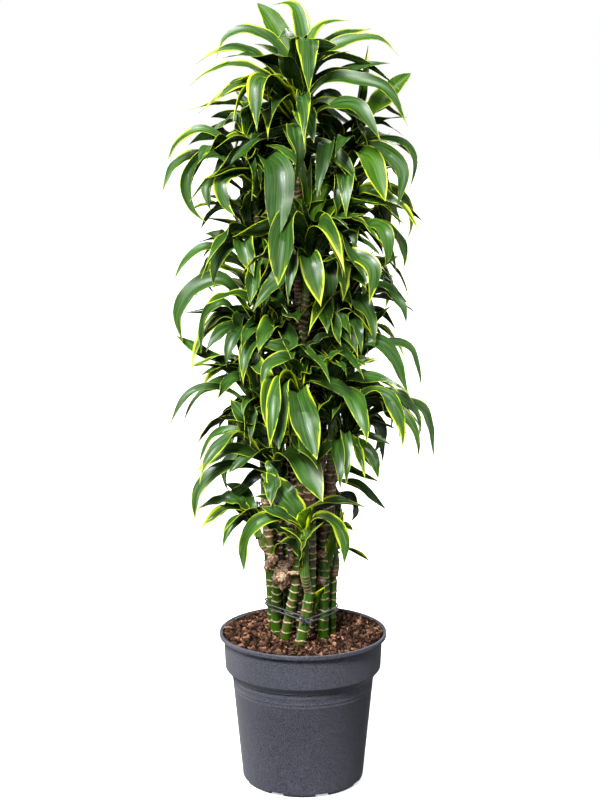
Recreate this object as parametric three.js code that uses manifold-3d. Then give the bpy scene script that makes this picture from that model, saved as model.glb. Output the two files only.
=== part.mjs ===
// A corn plant in its nursery pot: ringed canes tied in a bundle, each ending in heads of long
// arching strap leaves, standing in soil. Millimetres, +Z up, origin under the middle of the pot.
// Azimuth 0 points along +X, 90 along +Y (the back) and 270 to the front.
import * as THREE from "three";
import { mergeVertices } from "three/addons/utils/BufferGeometryUtils.js";
import Module from "manifold-3d";

const wasm = await Module();
wasm.setup();

// ---------------------------------------------------------------- driving dimensions
const POT_HEIGHT = 285;
const POT_WALL = 2.4;
const POT_FLOOR = 3.5;
const POT_SIDES = 32;
const FOOT_ROUND = 10;
const STEP_HEIGHT = 12; // of the slope between the body and the band
const LIP_HEIGHT = 8;
const LIP_RADIUS = 155.5;
const BAND_RADIUS = [147.5, 145]; // just under the lip, and at the band's lower edge
const BAND_BOTTOM = 219;
const BODY_RADIUS = [132.5, 113.5]; // under the step, and at the foot
const DRAIN_COUNT = 8;
const DRAIN_SIZE = [24, 28, 8]; // depth, width and height of a drain notch, 1 of it under the floor
const DRAIN_TURN = 244;
const SOIL_LEVEL = 274;
const SOIL_GAP = 0.4;
const SOIL_LUMPS = 1.6;
const BURIED_DEPTH = 105;
const STEM_GAP = 0.35; // clearance between a stem and what it stands in or grows on
const STRAIGHT_FOOT = [-12, 6]; // a cane stands straight from this far under the soil's level to here
const RING_SPACING = { front: 42, back: 84 }; // leaf scars on a cane, fewer than life
const RING_RISE = 1.1;
const RING_WIDTH = 5;
const CANE_SIDES = 6;
const SHOOT_SIDES = 5;
const SHOOT_RADIUS = [7.5, 5.5]; // at its foot and at its top
const LEAFY_SHARE = [0.42, 1]; // the stretch of a shoot that carries leaves
const CROWN_DEPTH = 4; // of the highest leaf's root under the shoot's end
const ROOT_OUT = 3.5; // of a leaf's root from the shoot's middle
const GOLDEN_TURN = 137.5; // degrees from one leaf to the next
const SHEATH_RISE = 70; // a leaf leaves the shoot this steeply
const SHEATH_SHARE = 0.14; // of its length before it has its own slope
const BEND_POWER = 1.6; // above 1: a blade arches over more towards its tip
const FOLD = [14, 46]; // degrees that a blade's halves fold up, over most of it and at the root
const MIDRIB_STEPS = 48;
const SHOWN_ROWS = [0, 7, 17, 27, 37, 48]; // the steps with a row of points, on a leaf placed one by one
const RULE_ROWS = [0, 9, 21, 34, 48]; // and on a leaf placed by rule
const BLADE_THICKNESS = 1.2; // of a blade under its upper face, along the midrib
const BLADE_CLEARANCE = 1.2; // between blades of different heads, and between a blade and a stem
const FREE_SHARE = 0.3; // blades of one head may touch nearer their roots than this
const SLEEVE_STEP = 40; // between the rows of points on the room that a stem keeps free
const CALLUS_RADIUS = 15;
const CALLUS_SHAPE = [1, 0.8, 1.1]; // its width, depth and height, as shares of a ball's
const CALLUS_CLEARANCE = 1.3; // as a share of a stem's, because its faces lean
const WIRE_RADIUS = 1.4;
const WIRE_SIDES = 4;
const WIRE_STEPS = 120; // steps in each turn round the bundle
const WIRE_SKIP = 15; // steps between two bends of the wire on one cane
const TIE_GAP = 1.6; // between a cane and the wire
const TAIL_LENGTH = 26;
const TAIL_OUT = 5; // of the twisted ends in front of the wire
const TIES = [
  { name: "tie_lower", height: 328, turns: 2, rise: 15, from: 236 },
  { name: "tie_upper", height: 524, turns: 1, rise: 9, from: 100 },
];

// Each cane: the row it stands in, its foot on the soil, its radius at foot and top, and the points
// it passes on its way up.
const CANES = [
  {
    name: "cane_front", row: "front", foot: [-5, -68], radius: [10, 8.5],
    way: [[6, -62, 340], [14, -58, 410], [12, -62, 540], [0, -66, 640]],
  },
  {
    name: "cane_tall_middle", row: "front", foot: [-33, -27], radius: [9.5, 7.5],
    way: [[-24, -30, 330], [-12, -33, 400], [-4, -40, 560], [-5, -42, 760], [3, -46, 880]],
  },
  {
    name: "cane_right", row: "front", foot: [37, -20], radius: [10, 9.5],
    way: [[38, -19, 400], [43, -14, 520], [49, -12, 594]],
  },
  {
    name: "cane_left_front", row: "front", foot: [-50, 2], radius: [9.5, 7.5],
    way: [[-50, 0, 330], [-49, -10, 394], [-60, -12, 430], [-66, -6, 520], [-72, 0, 622]],
    callus: [-47, -14, 392],
  },
  {
    name: "cane_left", row: "back", foot: [-55, 34], radius: [10, 8.5],
    way: [[-62, 30, 400], [-70, 26, 560], [-74, 16, 730]],
  },
  {
    name: "cane_centre", row: "back", foot: [4, 6], radius: [10.5, 8],
    way: [[3, 8, 500], [-4, 12, 800], [-9, 6, 1040], [-9, 2, 1110]],
  },
  {
    name: "cane_right_back", row: "back", foot: [44, 34], radius: [10, 8],
    way: [[50, 32, 500], [60, 26, 800], [70, 16, 940]],
  },
  {
    name: "cane_back_right", row: "back", foot: [14, 54], radius: [10, 8],
    way: [[24, 52, 500], [46, 54, 800], [66, 40, 1020]],
  },
  {
    name: "cane_back_left", row: "back", foot: [-26, 42], radius: [10, 8],
    way: [[-36, 40, 500], [-54, 26, 800], [-78, -2, 1020]],
  },
  {
    name: "cane_back", row: "back", foot: [-14, 80], radius: [10, 8],
    way: [[-18, 80, 500], [-30, 76, 800], [-58, 62, 1050]],
  },
  {
    name: "cane_right_thin", row: "front", foot: [54, 4], radius: [6.5, 6],
    way: [[56, 4, 340], [58, 4, 390]],
  },
];

// Each head: the cane it grows on, the way its shoot takes to the crown, and its leaves.
// shown: leaves placed one by one, as [azimuth, height share, length, width, rise, bend, drift, twist].
// The rest of the leaves follow the rule below, from the head's usual length and width and its turn.
const HEADS = [
  {
    name: "head_right_top", cane: "cane_back_right",
    shoot: [[66, 40, 1019], [74, 28, 1080], [80, 18, 1150]],
    leaves: 12, length: 200, width: 32, turn: 100,
    shown: [
      [16, 0.95, 185, 44, 68, 26, 0, 45],
      [50, 1, 205, 38, 82, 22, 0, 20],
      [352, 0.55, 215, 34, 68, 192, 0, 45],
      [326, 0.4, 205, 32, 55, 190, 0, 40],
      [298, 0.3, 240, 40, 62, 192, 0, 20],
    ],
  },
  {
    name: "head_top", cane: "cane_centre",
    shoot: [[-9, 2, 1109], [-9, 1, 1170], [-9, 0, 1236]],
    leaves: 20, length: 220, width: 36, turn: 60,
    shown: [
      [136, 0.95, 225, 46, 72, 22, 0, -25],
      [108, 1, 212, 32, 86, 60, 40, -30],
      [280, 0.98, 268, 50, 86, 196, 0, 10],
      [20, 0.95, 200, 24, 86, 64, 0, 40],
      [32, 0.9, 250, 28, 84, 100, 0, 40],
      [5, 0.9, 270, 38, 82, 134, 0, 45],
      [180, 1, 290, 38, 89, 166, 0, -45],
      [195, 0.75, 245, 34, 70, 110, 0, -45],
      [172, 0.75, 255, 34, 66, 128, 0, -45],
      [208, 0.5, 210, 32, 60, 115, 0, -40],
      [210, 0.45, 230, 32, 54, 116, 0, -35],
      [240, 0.55, 250, 46, 76, 185, 0, -25],
      [343, 0.45, 260, 36, 60, 140, 0, 45],
      [322, 0.3, 210, 36, 50, 135, 0, 35],
      [18, 0.2, 180, 32, 48, 115, 0, 45],
    ],
  },
  {
    name: "head_front_middle", cane: "cane_tall_middle",
    shoot: [[3, -46, 879], [6, -50, 930], [8, -52, 990]],
    leaves: 14, length: 190, width: 38, turn: 250,
    shown: [
      [60, 1, 130, 44, 84, 30, 0, 25],
      [18, 0.9, 140, 40, 62, 24, 0, 45],
      [110, 1, 185, 26, 87, 12, 0, -15],
      [248, 0.7, 225, 52, 74, 185, 0, -20],
      [332, 0.35, 215, 36, 42, 160, 0, 40],
      [285, 0.4, 180, 42, 55, 172, 0, 10],
    ],
  },
  {
    name: "head_left_top", cane: "cane_back_left",
    shoot: [[-78, -2, 1019], [-88, -12, 1080], [-94, -20, 1146]],
    leaves: 13, length: 195, width: 32, turn: 80,
    shown: [
      [150, 1, 100, 36, 80, 10, 0, -40],
      [280, 1, 60, 24, 82, 20, 0, 10],
      [180, 0.65, 215, 32, 62, 140, 0, -45],
      [205, 0.5, 240, 40, 53, 200, 0, -45],
      [166, 0.3, 215, 28, 48, 125, 0, -45],
      [238, 0.25, 175, 32, 48, 170, 0, -30],
      [212, 0.15, 165, 28, 38, 155, 0, -40],
      [274, 0.25, 265, 48, 62, 176, 0, 10],
    ],
  },
  {
    name: "head_left_back_top", cane: "cane_back",
    shoot: [[-58, 62, 1049], [-68, 56, 1100], [-74, 50, 1165]],
    leaves: 11, length: 195, width: 32, turn: 90,
    shown: [
      [332, 0.3, 210, 36, 38, 105, 0, 45],
      [305, 0.5, 200, 38, 58, 155, 0, 25],
      [110, 1, 120, 32, 80, 30, 0, -15],
    ],
  },
  {
    name: "head_right_middle", cane: "cane_right_back",
    shoot: [[70, 16, 939], [76, 10, 990], [80, 6, 1050]],
    leaves: 12, length: 185, width: 30, turn: 60,
    shown: [
      [280, 0.3, 110, 28, 48, 160, 0, 10],
      [310, 0.2, 160, 30, 44, 168, 0, 30],
      [348, 0.7, 165, 28, 64, 205, 0, 45],
      [6, 0.5, 195, 28, 66, 205, 0, 45],
      [325, 0.1, 165, 26, 38, 160, 0, 40],
      [357, 0.15, 165, 26, 40, 168, 0, 45],
    ],
  },
  {
    name: "head_left_middle", cane: "cane_back_left",
    shoot: [[-62, 16, 880], [-88, 4, 930], [-94, 0, 1005]],
    leaves: 10, length: 180, width: 30, turn: 90,
    shown: [
      [186, 0.8, 94, 28, 36, 40, 0, -45],
      [228, 0.4, 145, 34, 42, 165, 0, -35],
      [265, 0.2, 130, 30, 28, 135, 0, -10],
      [178, 0.35, 200, 30, 43, 140, 0, -45],
      [284, 0.4, 125, 34, 44, 150, 0, 10],
    ],
  },
  {
    name: "head_left_lower_middle", cane: "cane_left",
    shoot: [[-74, 16, 729], [-78, 8, 790], [-80, 4, 850]],
    leaves: 11, length: 190, width: 32, turn: 60,
    shown: [
      [180, 0.7, 285, 40, 80, 210, 0, -45],
      [192, 0.55, 178, 34, 53, 172, 0, -45],
      [208, 0.55, 140, 30, 40, 135, 0, -40],
      [236, 0.5, 145, 34, 43, 155, 0, -25],
    ],
  },
  {
    name: "head_right_lower_middle", cane: "cane_right_back",
    shoot: [[58, 28, 760], [74, 18, 820], [74, 14, 890]],
    leaves: 10, length: 180, width: 32, turn: 340,
    shown: [
      [300, 0.4, 150, 36, 50, 165, 0, 20],
      [335, 0.6, 170, 32, 60, 160, 0, 40],
      [20, 0.9, 150, 34, 66, 60, 0, 40],
    ],
  },
  {
    name: "head_centre_upper", cane: "cane_centre",
    shoot: [[-6, 10, 900], [24, -10, 950], [28, -16, 1030]],
    leaves: 9, length: 170, width: 38, turn: 290,
    shown: [],
  },
  {
    name: "head_centre_left", cane: "cane_back_left",
    shoot: [[-51, 27, 740], [-44, 2, 780], [-42, -8, 840]],
    leaves: 9, length: 165, width: 42, turn: 260,
    shown: [
      [120, 0.95, 120, 44, 80, 20, 0, -20],
      [70, 0.9, 115, 42, 76, 30, 0, 20],
      [250, 0.5, 150, 44, 66, 165, 0, -15],
      [290, 0.4, 150, 44, 60, 160, 0, 15],
    ],
  },
  {
    name: "head_centre_right", cane: "cane_right_back",
    shoot: [[57, 28, 740], [34, 6, 780], [28, -2, 840]],
    leaves: 9, length: 165, width: 40, turn: 290,
    shown: [
      [60, 0.95, 120, 44, 80, 20, 0, 20],
      [270, 0.7, 150, 42, 74, 150, 0, 0],
      [310, 0.4, 140, 40, 56, 150, 0, 25],
    ],
  },
  {
    name: "head_right_lower", cane: "cane_right",
    shoot: [[49, -12, 593], [52, -36, 660], [52, -44, 760]],
    leaves: 12, length: 185, width: 34, turn: 230,
    shown: [
      [90, 1, 90, 42, 82, 10, 0, 0],
      [352, 0.6, 240, 32, 80, 178, 0, 45],
      [340, 0.6, 175, 32, 46, 105, 0, 40],
      [328, 0.3, 205, 34, 38, 150, 0, 40],
      [5, 0.7, 270, 34, 66, 175, 0, 45],
      [22, 0.95, 190, 40, 66, 42, 0, 45],
      [300, 0.3, 175, 36, 48, 165, 0, 25],
    ],
  },
  {
    name: "head_right_outer", cane: "cane_right",
    shoot: [[46, -14, 560], [72, -6, 600], [84, 0, 676]],
    leaves: 11, length: 185, width: 28, turn: 60,
    shown: [
      [338, 0.3, 105, 22, 43, 90, 0, 40],
      [350, 0.7, 225, 28, 66, 200, 0, 45],
      [2, 0.6, 265, 28, 60, 168, 0, 45],
      [335, 0.4, 215, 28, 55, 178, 0, 45],
      [290, 0.3, 135, 26, 28, 135, 0, 15],
      [310, 0.2, 125, 26, 28, 130, 0, 35],
    ],
  },
  {
    name: "head_centre_lower", cane: "cane_front",
    shoot: [[0, -66, 639], [-5, -68, 690], [-6, -68, 752]],
    leaves: 12, length: 185, width: 38, turn: 100,
    shown: [
      [212, 0.7, 200, 36, 78, 198, 0, -45],
      [242, 0.3, 205, 50, 52, 165, 0, -30],
      [284, 0.2, 225, 54, 56, 162, 0, 10],
      [262, 1, 60, 26, 70, 20, 0, -5],
      [140, 0.9, 120, 36, 70, 40, 0, -35],
    ],
  },
  {
    name: "head_left_lower", cane: "cane_left_front",
    shoot: [[-66, -6, 530], [-50, -26, 566], [-44, -36, 622]],
    leaves: 10, length: 190, width: 34, turn: 60,
    shown: [
      [168, 0.9, 142, 40, 56, 12, 0, -45],
      [187, 0.4, 190, 36, 46, 100, 0, -45],
      [175, 0.7, 220, 34, 60, 150, 0, -45],
      [192, 0.2, 245, 32, 44, 158, 0, -45],
      [312, 0.5, 200, 52, 40, 100, 0, 35],
    ],
  },
  {
    name: "head_left_outer", cane: "cane_left_front",
    shoot: [[-72, 0, 621], [-84, 2, 670], [-92, 2, 722]],
    leaves: 10, length: 190, width: 30, turn: 90,
    shown: [
      [172, 0.85, 190, 42, 50, 24, 0, -45],
      [150, 1, 105, 28, 66, 10, 0, -40],
      [180, 0.5, 180, 28, 48, 150, 0, -45],
      [190, 0.45, 215, 28, 42, 140, 0, -45],
    ],
  },
  {
    name: "head_lowest_front", cane: "cane_front",
    shoot: [[11, -58, 372], [3, -84, 420], [3, -92, 500]],
    leaves: 8, length: 145, width: 30, turn: 100,
    shown: [
      [170, 0.9, 140, 42, 66, 60, 0, -45],
      [197, 0.4, 160, 34, 38, 125, 0, -45],
      [335, 0.4, 140, 32, 43, 155, 0, 45],
      [182, 0.7, 100, 26, 30, 10, 0, -45],
    ],
  },
  {
    name: "head_lowest_left", cane: "cane_left_front",
    shoot: [[-63, -11, 436], [-80, -18, 462], [-88, -20, 502]],
    leaves: 8, length: 120, width: 26, turn: 90,
    shown: [
      [180, 0.7, 135, 28, 48, 95, 0, -45],
      [192, 0.5, 122, 28, 43, 105, 0, -45],
      [215, 0.3, 105, 22, 38, 145, 0, -40],
      [168, 0.9, 70, 28, 45, 40, 0, -45],
    ],
  },
  {
    name: "head_lowest_right", cane: "cane_right_thin",
    shoot: [[58, 4, 389], [61, 2, 416], [62, 2, 450]],
    leaves: 5, length: 90, width: 18, turn: 30,
    shown: [
      [60, 1, 75, 16, 80, 10, 0, 25],
      [0, 0.6, 60, 18, 50, 60, 0, 45],
    ],
  },
  {
    name: "head_back_lowest", cane: "cane_back_right",
    shoot: [[20, 52, 430], [22, 88, 480], [22, 96, 560]],
    leaves: 8, length: 180, width: 32, turn: 80, shown: [],
  },
  {
    name: "head_back_left_lower", cane: "cane_back",
    shoot: [[-20, 80, 560], [-50, 92, 610], [-60, 96, 690]],
    leaves: 8, length: 190, width: 32, turn: 130, shown: [],
  },
  {
    name: "head_back_right_lower", cane: "cane_back_right",
    shoot: [[32, 53, 600], [52, 78, 640], [62, 88, 720]],
    leaves: 8, length: 190, width: 32, turn: 50, shown: [],
  },
  {
    name: "head_back_middle", cane: "cane_back",
    shoot: [[-26, 78, 740], [-4, 94, 790], [2, 98, 860]],
    leaves: 9, length: 190, width: 32, turn: 90, shown: [],
  },
  {
    name: "head_back_left_middle", cane: "cane_back",
    shoot: [[-38, 74, 880], [-66, 84, 920], [-74, 88, 990]],
    leaves: 8, length: 190, width: 32, turn: 140, shown: [],
  },
  {
    name: "head_back_right_middle", cane: "cane_back_right",
    shoot: [[50, 52, 840], [66, 76, 890], [70, 84, 970]],
    leaves: 8, length: 190, width: 32, turn: 40, shown: [],
  },
  {
    name: "head_back_top", cane: "cane_centre",
    shoot: [[-7, 8, 960], [0, 50, 1010], [4, 66, 1090]],
    leaves: 9, length: 190, width: 32, turn: 100, shown: [],
  },
];

// What a leaf by rule is at the foot of its head, and what it gains towards the top.
const LOW_LEAF = { rise: 40, bend: 158 };
const HIGH_GAIN = { rise: 44, bend: -84 };
// The most that a random draw changes.
const SPREAD = { azimuth: 12, length: 0.08, width: 0.1, rise: 7, bend: 16, drift: 20, twist: 50 };

// What a leaf tries, in turn, when its own place is taken: it turns aside and lifts by these degrees,
// and then it grows to a smaller share of its length.
const ASIDE = [
  [0, 0], [7, 0], [-7, 0], [0, 8], [0, -8], [14, 0], [-14, 0], [10, 10], [-10, 10], [10, -10], [-10, -10],
  [21, 0], [-21, 0], [18, 12], [-18, 12], [28, 0], [-28, 0], [0, 18], [24, -10], [-24, -10], [0, -18],
];
const SHORTER = [1, 0.8, 0.62];

// ---------------------------------------------------------------- small helpers
const UP = [0, 0, 1];
const radians = THREE.MathUtils.degToRad;
const add = (a, b, k = 1) => [a[0] + b[0] * k, a[1] + b[1] * k, a[2] + b[2] * k];
const sub = (a, b) => add(a, b, -1);
const dot = (a, b) => a[0] * b[0] + a[1] * b[1] + a[2] * b[2];
const cross = (a, b) => [0, 1, 2].map((k) => {
  const [i, j] = [(k + 1) % 3, (k + 2) % 3];
  return a[i] * b[j] - a[j] * b[i];
});
const distance = (a, b) => Math.hypot(...sub(a, b));
const between = ([from, to], share) => from + (to - from) * share;
const unit = (a) => {
  const size = Math.hypot(...a);
  return [a[0] / size, a[1] / size, a[2] / size];
};

// Repeatable draws between -1 and 1.
function drawsFrom(seed) {
  let state = seed;
  return () => {
    state = (state * 16807) % 2147483647;
    return (state / 2147483647) * 2 - 1;
  };
}

// A smooth line through points, STEPS_PER_SPAN short steps to each span.
const STEPS_PER_SPAN = 6;
function smoothLine(points) {
  const line = [];
  const last = points.length - 1;
  for (let i = 0; i < last; i++) {
    const near = [i - 1, i, i + 1, i + 2].map((n) => points[Math.min(Math.max(n, 0), last)]);
    for (let step = 0; step < STEPS_PER_SPAN; step++) {
      const t = step / STEPS_PER_SPAN;
      const weights = [
        (-t + 2 * t * t - t * t * t) / 2,
        (2 - 5 * t * t + 3 * t * t * t) / 2,
        (t + 4 * t * t - 3 * t * t * t) / 2,
        (-t * t + t * t * t) / 2,
      ];
      line.push([0, 1, 2].map((k) => near.reduce((sum, point, n) => sum + point[k] * weights[n], 0)));
    }
  }
  line.push(points[last]);
  return line;
}

// The point at a distance along a line of points, with the direction there.
function alongLine(line, way) {
  let left = way;
  let i = 0;
  while (i < line.length - 2 && left > distance(line[i + 1], line[i])) {
    left -= distance(line[i + 1], line[i]);
    i += 1;
  }
  const direction = unit(sub(line[i + 1], line[i]));
  return { point: add(line[i], direction, left), direction };
}

const lengthOf = (line) => line.slice(1).reduce((sum, point, i) => sum + distance(point, line[i]), 0);

// ---------------------------------------------------------------- solids
// A geometry's points alone, each of them once.
function bare(geometry) {
  geometry.deleteAttribute("normal");
  geometry.deleteAttribute("uv");
  return mergeVertices(geometry, 1e-4);
}

function solidOf(geometry) {
  const merged = bare(geometry);
  return new wasm.Manifold(
    new wasm.Mesh({
      numProp: 3,
      vertProperties: new Float32Array(merged.attributes.position.array),
      triVerts: new Uint32Array(merged.index.array),
    }),
  );
}

function geometryOf(solid) {
  const mesh = solid.getMesh();
  const positions = new Float32Array(mesh.numVert * 3);
  for (let i = 0; i < mesh.numVert; i++)
    positions.set(mesh.vertProperties.subarray(i * mesh.numProp, i * mesh.numProp + 3), i * 3);
  const geometry = new THREE.BufferGeometry();
  geometry.setAttribute("position", new THREE.BufferAttribute(positions, 3));
  geometry.setIndex(new THREE.BufferAttribute(new Uint32Array(mesh.triVerts), 1));
  return geometry;
}

// The largest body of a solid: what a cut has left loose is dropped.
const mainBody = (solid) =>
  solid.decompose().reduce((best, body) => (body.volume() > best.volume() ? body : best));

// A round stem bent along a line: a lathe profile of [way along it, radius] stations, then bent.
// Its sides are set out from the direction square to the line and to the reference.
function stemGeometry(line, stations, sides, reference = [0, 1, 0]) {
  const total = lengthOf(line);
  const profile = [new THREE.Vector2(0, 0)];
  for (const [way, radius] of stations) profile.push(new THREE.Vector2(radius, way));
  profile.push(new THREE.Vector2(0, stations.at(-1)[0]));
  const geometry = new THREE.LatheGeometry(profile, sides);
  const positions = geometry.attributes.position;
  for (let i = 0; i < positions.count; i++) {
    const [x, way, z] = [positions.getX(i), positions.getY(i), positions.getZ(i)];
    const { point, direction } = alongLine(line, Math.min(way, total));
    const side = unit(cross(reference, direction));
    const front = cross(direction, side);
    positions.setXYZ(i, ...add(add(point, side, x), front, -z));
  }
  return geometry;
}

// A round wire through points, with flat ends.
function wireSolid(points) {
  const stations = points.map((_, i) => [lengthOf(points.slice(0, i + 1)), WIRE_RADIUS]);
  return solidOf(stemGeometry(points, stations, WIRE_SIDES, UP));
}

// ---------------------------------------------------------------- canes and shoots
function caneLine(cane) {
  const foot = [-BURIED_DEPTH, ...STRAIGHT_FOOT].map((height) => [...cane.foot, SOIL_LEVEL + height]);
  return smoothLine([...foot, ...cane.way]);
}

// Ringed stations: a leaf scar stands out at each RING_SPACING above the soil.
function caneStations(cane, extra = 0) {
  const total = lengthOf(cane.line);
  const radiusAt = (way) => between(cane.radius, way / total) + extra;
  const stations = [[0, radiusAt(0)]];
  const spacing = RING_SPACING[cane.row];
  const rings = Math.floor((total - BURIED_DEPTH) / spacing);
  for (let i = 0; i < rings; i++) {
    const ring = BURIED_DEPTH + (i + 0.5) * spacing;
    stations.push([ring - RING_WIDTH, radiusAt(ring)], [ring, radiusAt(ring) + RING_RISE]);
  }
  stations.push([total, radiusAt(total)]);
  return stations;
}

// A smooth sleeve round a stem: the room that it keeps free.
function sleeve(line, radii, reference) {
  const total = lengthOf(line);
  const count = Math.max(2, Math.ceil(total / SLEEVE_STEP));
  const shares = Array.from({ length: count + 1 }, (_, i) => i / count);
  const stations = shares.map((share) => [total * share, between(radii, share)]);
  return stemGeometry(line, stations, CANE_SIDES, reference);
}

function caneSolid(cane) {
  const solid = solidOf(stemGeometry(cane.line, caneStations(cane), CANE_SIDES));
  return cane.callus ? solid.add(callusSolid(cane.callus)) : solid;
}

// The room for a cane in what it passes through: the cane itself with a small gap all round.
function seatSolid(cane) {
  const start = add(cane.line[0], unit(sub(cane.line[0], cane.line[1])), STEM_GAP);
  const end = add(cane.line.at(-1), unit(sub(cane.line.at(-1), cane.line.at(-2))), STEM_GAP);
  const stations = caneStations(cane, STEM_GAP).map(([way, radius]) => [way + STEM_GAP, radius]);
  stations[0][0] = 0;
  stations.at(-1)[0] += STEM_GAP;
  const seat = solidOf(stemGeometry([start, ...cane.line, end], stations, CANE_SIDES));
  return cane.callus ? seat.add(callusSolid(cane.callus, STEM_GAP * CALLUS_CLEARANCE)) : seat;
}

// A knobby swelling of healed bark where a shoot has taken over from a cut cane.
function callusSolid(centre, extra = 0) {
  const knob = bare(new THREE.IcosahedronGeometry(CALLUS_RADIUS + extra, 1));
  const positions = knob.attributes.position;
  const draw = drawsFrom(9);
  for (let i = 0; i < positions.count; i++) {
    const swell = 0.9 + draw() * 0.12;
    const point = [positions.getX(i), positions.getY(i), positions.getZ(i)];
    positions.setXYZ(i, ...point.map((v, k) => v * swell * CALLUS_SHAPE[k]));
  }
  return solidOf(knob.translate(...centre));
}

// ---------------------------------------------------------------- leaves
// The share of a blade's full width at a share of its length: a narrow sheath, then a strap that is
// widest past its middle and ends in a point.
const widthShare = (t) => 0.1 * (1 - t) ** 6 + 5.9 * t ** 1.6 * (1 - t) ** 1.05;

// A leaf's midrib as steps of { point, side, up }: side is across the blade, up is its upper face.
function midrib(leaf) {
  const steps = [];
  const start = radians(leaf.azimuth);
  let point = add(leaf.root, [Math.cos(start), Math.sin(start), 0], ROOT_OUT);
  for (let i = 0; i <= MIDRIB_STEPS; i++) {
    const t = i / MIDRIB_STEPS;
    const sheath = Math.max(0, 1 - t / SHEATH_SHARE) ** 2;
    const rise = radians(leaf.rise - leaf.bend * t ** BEND_POWER + (SHEATH_RISE - leaf.rise) * sheath);
    const azimuth = radians(leaf.azimuth + leaf.drift * t * t);
    const ahead = [Math.cos(rise) * Math.cos(azimuth), Math.cos(rise) * Math.sin(azimuth), Math.sin(rise)];
    const level = [-Math.sin(azimuth), Math.cos(azimuth), 0];
    const above = cross(ahead, level);
    const roll = radians(leaf.twist * t * (2 - t));
    const side = add(level.map((v) => v * Math.cos(roll)), above, Math.sin(roll));
    const up = add(above.map((v) => v * Math.cos(roll)), level, -Math.sin(roll));
    steps.push({ point, side, up, t });
    point = add(point, ahead, leaf.length / MIDRIB_STEPS);
  }
  return steps;
}

// The two halves of a blade fold up from the midrib, most at its root.
const foldAt = (t) => radians(between(FOLD, (1 - t) ** 4));

// The skin of a blade as triangles, each with its share of the way to the tip: a flat upper face
// and a keel along the midrib, grown outwards by grow.
function bladeSkin(leaf, grow = 0) {
  const steps = midrib(leaf);
  const rows = leaf.rows.slice(0, -1).map((step) => {
    const { point, side, up, t } = steps[step];
    const half = (leaf.width * widthShare(t)) / 2;
    const rib = add(point, up, -BLADE_THICKNESS / 2 - grow);
    const middle = add(point, up, half * Math.sin(foldAt(t)) + grow);
    const across = half * Math.cos(foldAt(t)) + grow;
    return { left: add(middle, side, across), right: add(middle, side, -across), rib, t };
  });
  const tip = steps[MIDRIB_STEPS].point;
  const faces = [];
  const face = (row, ...corners) => faces.push({ corners, share: row.t });
  for (let i = 0; i < rows.length - 1; i++) {
    const [a, b] = [rows[i], rows[i + 1]];
    face(a, a.left, a.right, b.right);
    face(a, a.left, b.right, b.left);
    face(a, a.left, b.left, b.rib);
    face(a, a.left, b.rib, a.rib);
    face(a, a.rib, b.rib, b.right);
    face(a, a.rib, b.right, a.right);
  }
  const end = rows[rows.length - 1];
  face(end, end.left, end.right, tip);
  face(end, end.left, tip, end.rib);
  face(end, end.rib, tip, end.right);
  face(rows[0], rows[0].left, rows[0].rib, rows[0].right);
  return faces;
}

function geometryFrom(faces) {
  const geometry = new THREE.BufferGeometry();
  const positions = new Float32Array(faces.flatMap((face) => face.corners.flat()));
  geometry.setAttribute("position", new THREE.BufferAttribute(positions, 3));
  return geometry;
}

// ---------------------------------------------------------------- keeping blades clear of each other
function boxed(face) {
  const low = [0, 1, 2].map((k) => Math.min(...face.corners.map((p) => p[k])));
  const high = [0, 1, 2].map((k) => Math.max(...face.corners.map((p) => p[k])));
  return { ...face, low, high };
}

function pierces(from, to, [a, b, c]) {
  const [way, ab, ac] = [sub(to, from), sub(b, a), sub(c, a)];
  const h = cross(way, ac);
  const size = dot(ab, h);
  if (Math.abs(size) < 1e-12) return false;
  const s = sub(from, a);
  const u = dot(s, h) / size;
  if (u < 0 || u > 1) return false;
  const q = cross(s, ab);
  const v = dot(way, q) / size;
  if (v < 0 || u + v > 1) return false;
  const t = dot(ac, q) / size;
  return t >= 0 && t <= 1;
}

function meet(one, two) {
  if ([0, 1, 2].some((k) => one.low[k] > two.high[k] || two.low[k] > one.high[k])) return false;
  const [p, q] = [one.corners, two.corners];
  return [0, 1, 2].some((k) => pierces(p[k], p[(k + 1) % 3], q) || pierces(q[k], q[(k + 1) % 3], p));
}

// The faces that no later blade may cross, each with its owner's name.
const taken = [];

// True where a blade crosses nothing: stems, blades of other heads, and its own head's past FREE_SHARE.

function isClear(leaf, head) {
  const skin = bladeSkin(leaf, BLADE_CLEARANCE).map(boxed);
  const reach = boxed({ corners: skin.flatMap((face) => face.corners) });
  for (const face of taken) {
    if ([0, 1, 2].some((k) => face.low[k] > reach.high[k] || reach.low[k] > face.high[k])) continue;
    const own = face.owner === head.name;
    if (own && face.share < FREE_SHARE) continue;
    const from = own ? FREE_SHARE : face.owner === head.cane ? 0.1 : 0;
    if (skin.some((mine) => mine.share >= from && meet(mine, face))) return false;
  }
  return true;
}

function take(faces, owner) {
  for (const face of faces) taken.push({ ...boxed(face), owner });
}

// A leaf in the first place and length that is clear, or nothing.
function placeLeaf(leaf, head) {
  for (const share of SHORTER) {
    for (const [turn, lift] of ASIDE) {
      const [azimuth, rise] = [leaf.azimuth + turn, leaf.rise + lift];
      const tried = { ...leaf, length: leaf.length * share, azimuth, rise };
      if (isClear(tried, head)) {
        take(bladeSkin(tried), head.name);
        return tried;
      }
    }
  }
  return null;
}

// The point on a shoot's middle where a leaf at a height share is rooted.
const rootOn = (head, share) =>
  alongLine(head.line, lengthOf(head.line) * between(LEAFY_SHARE, share) - CROWN_DEPTH).point;

const shownLeaf = (head, [azimuth, share, length, width, rise, bend, drift, twist]) =>
  ({ root: rootOn(head, share), azimuth, length, width, rise, bend, drift, twist, rows: SHOWN_ROWS });

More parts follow.
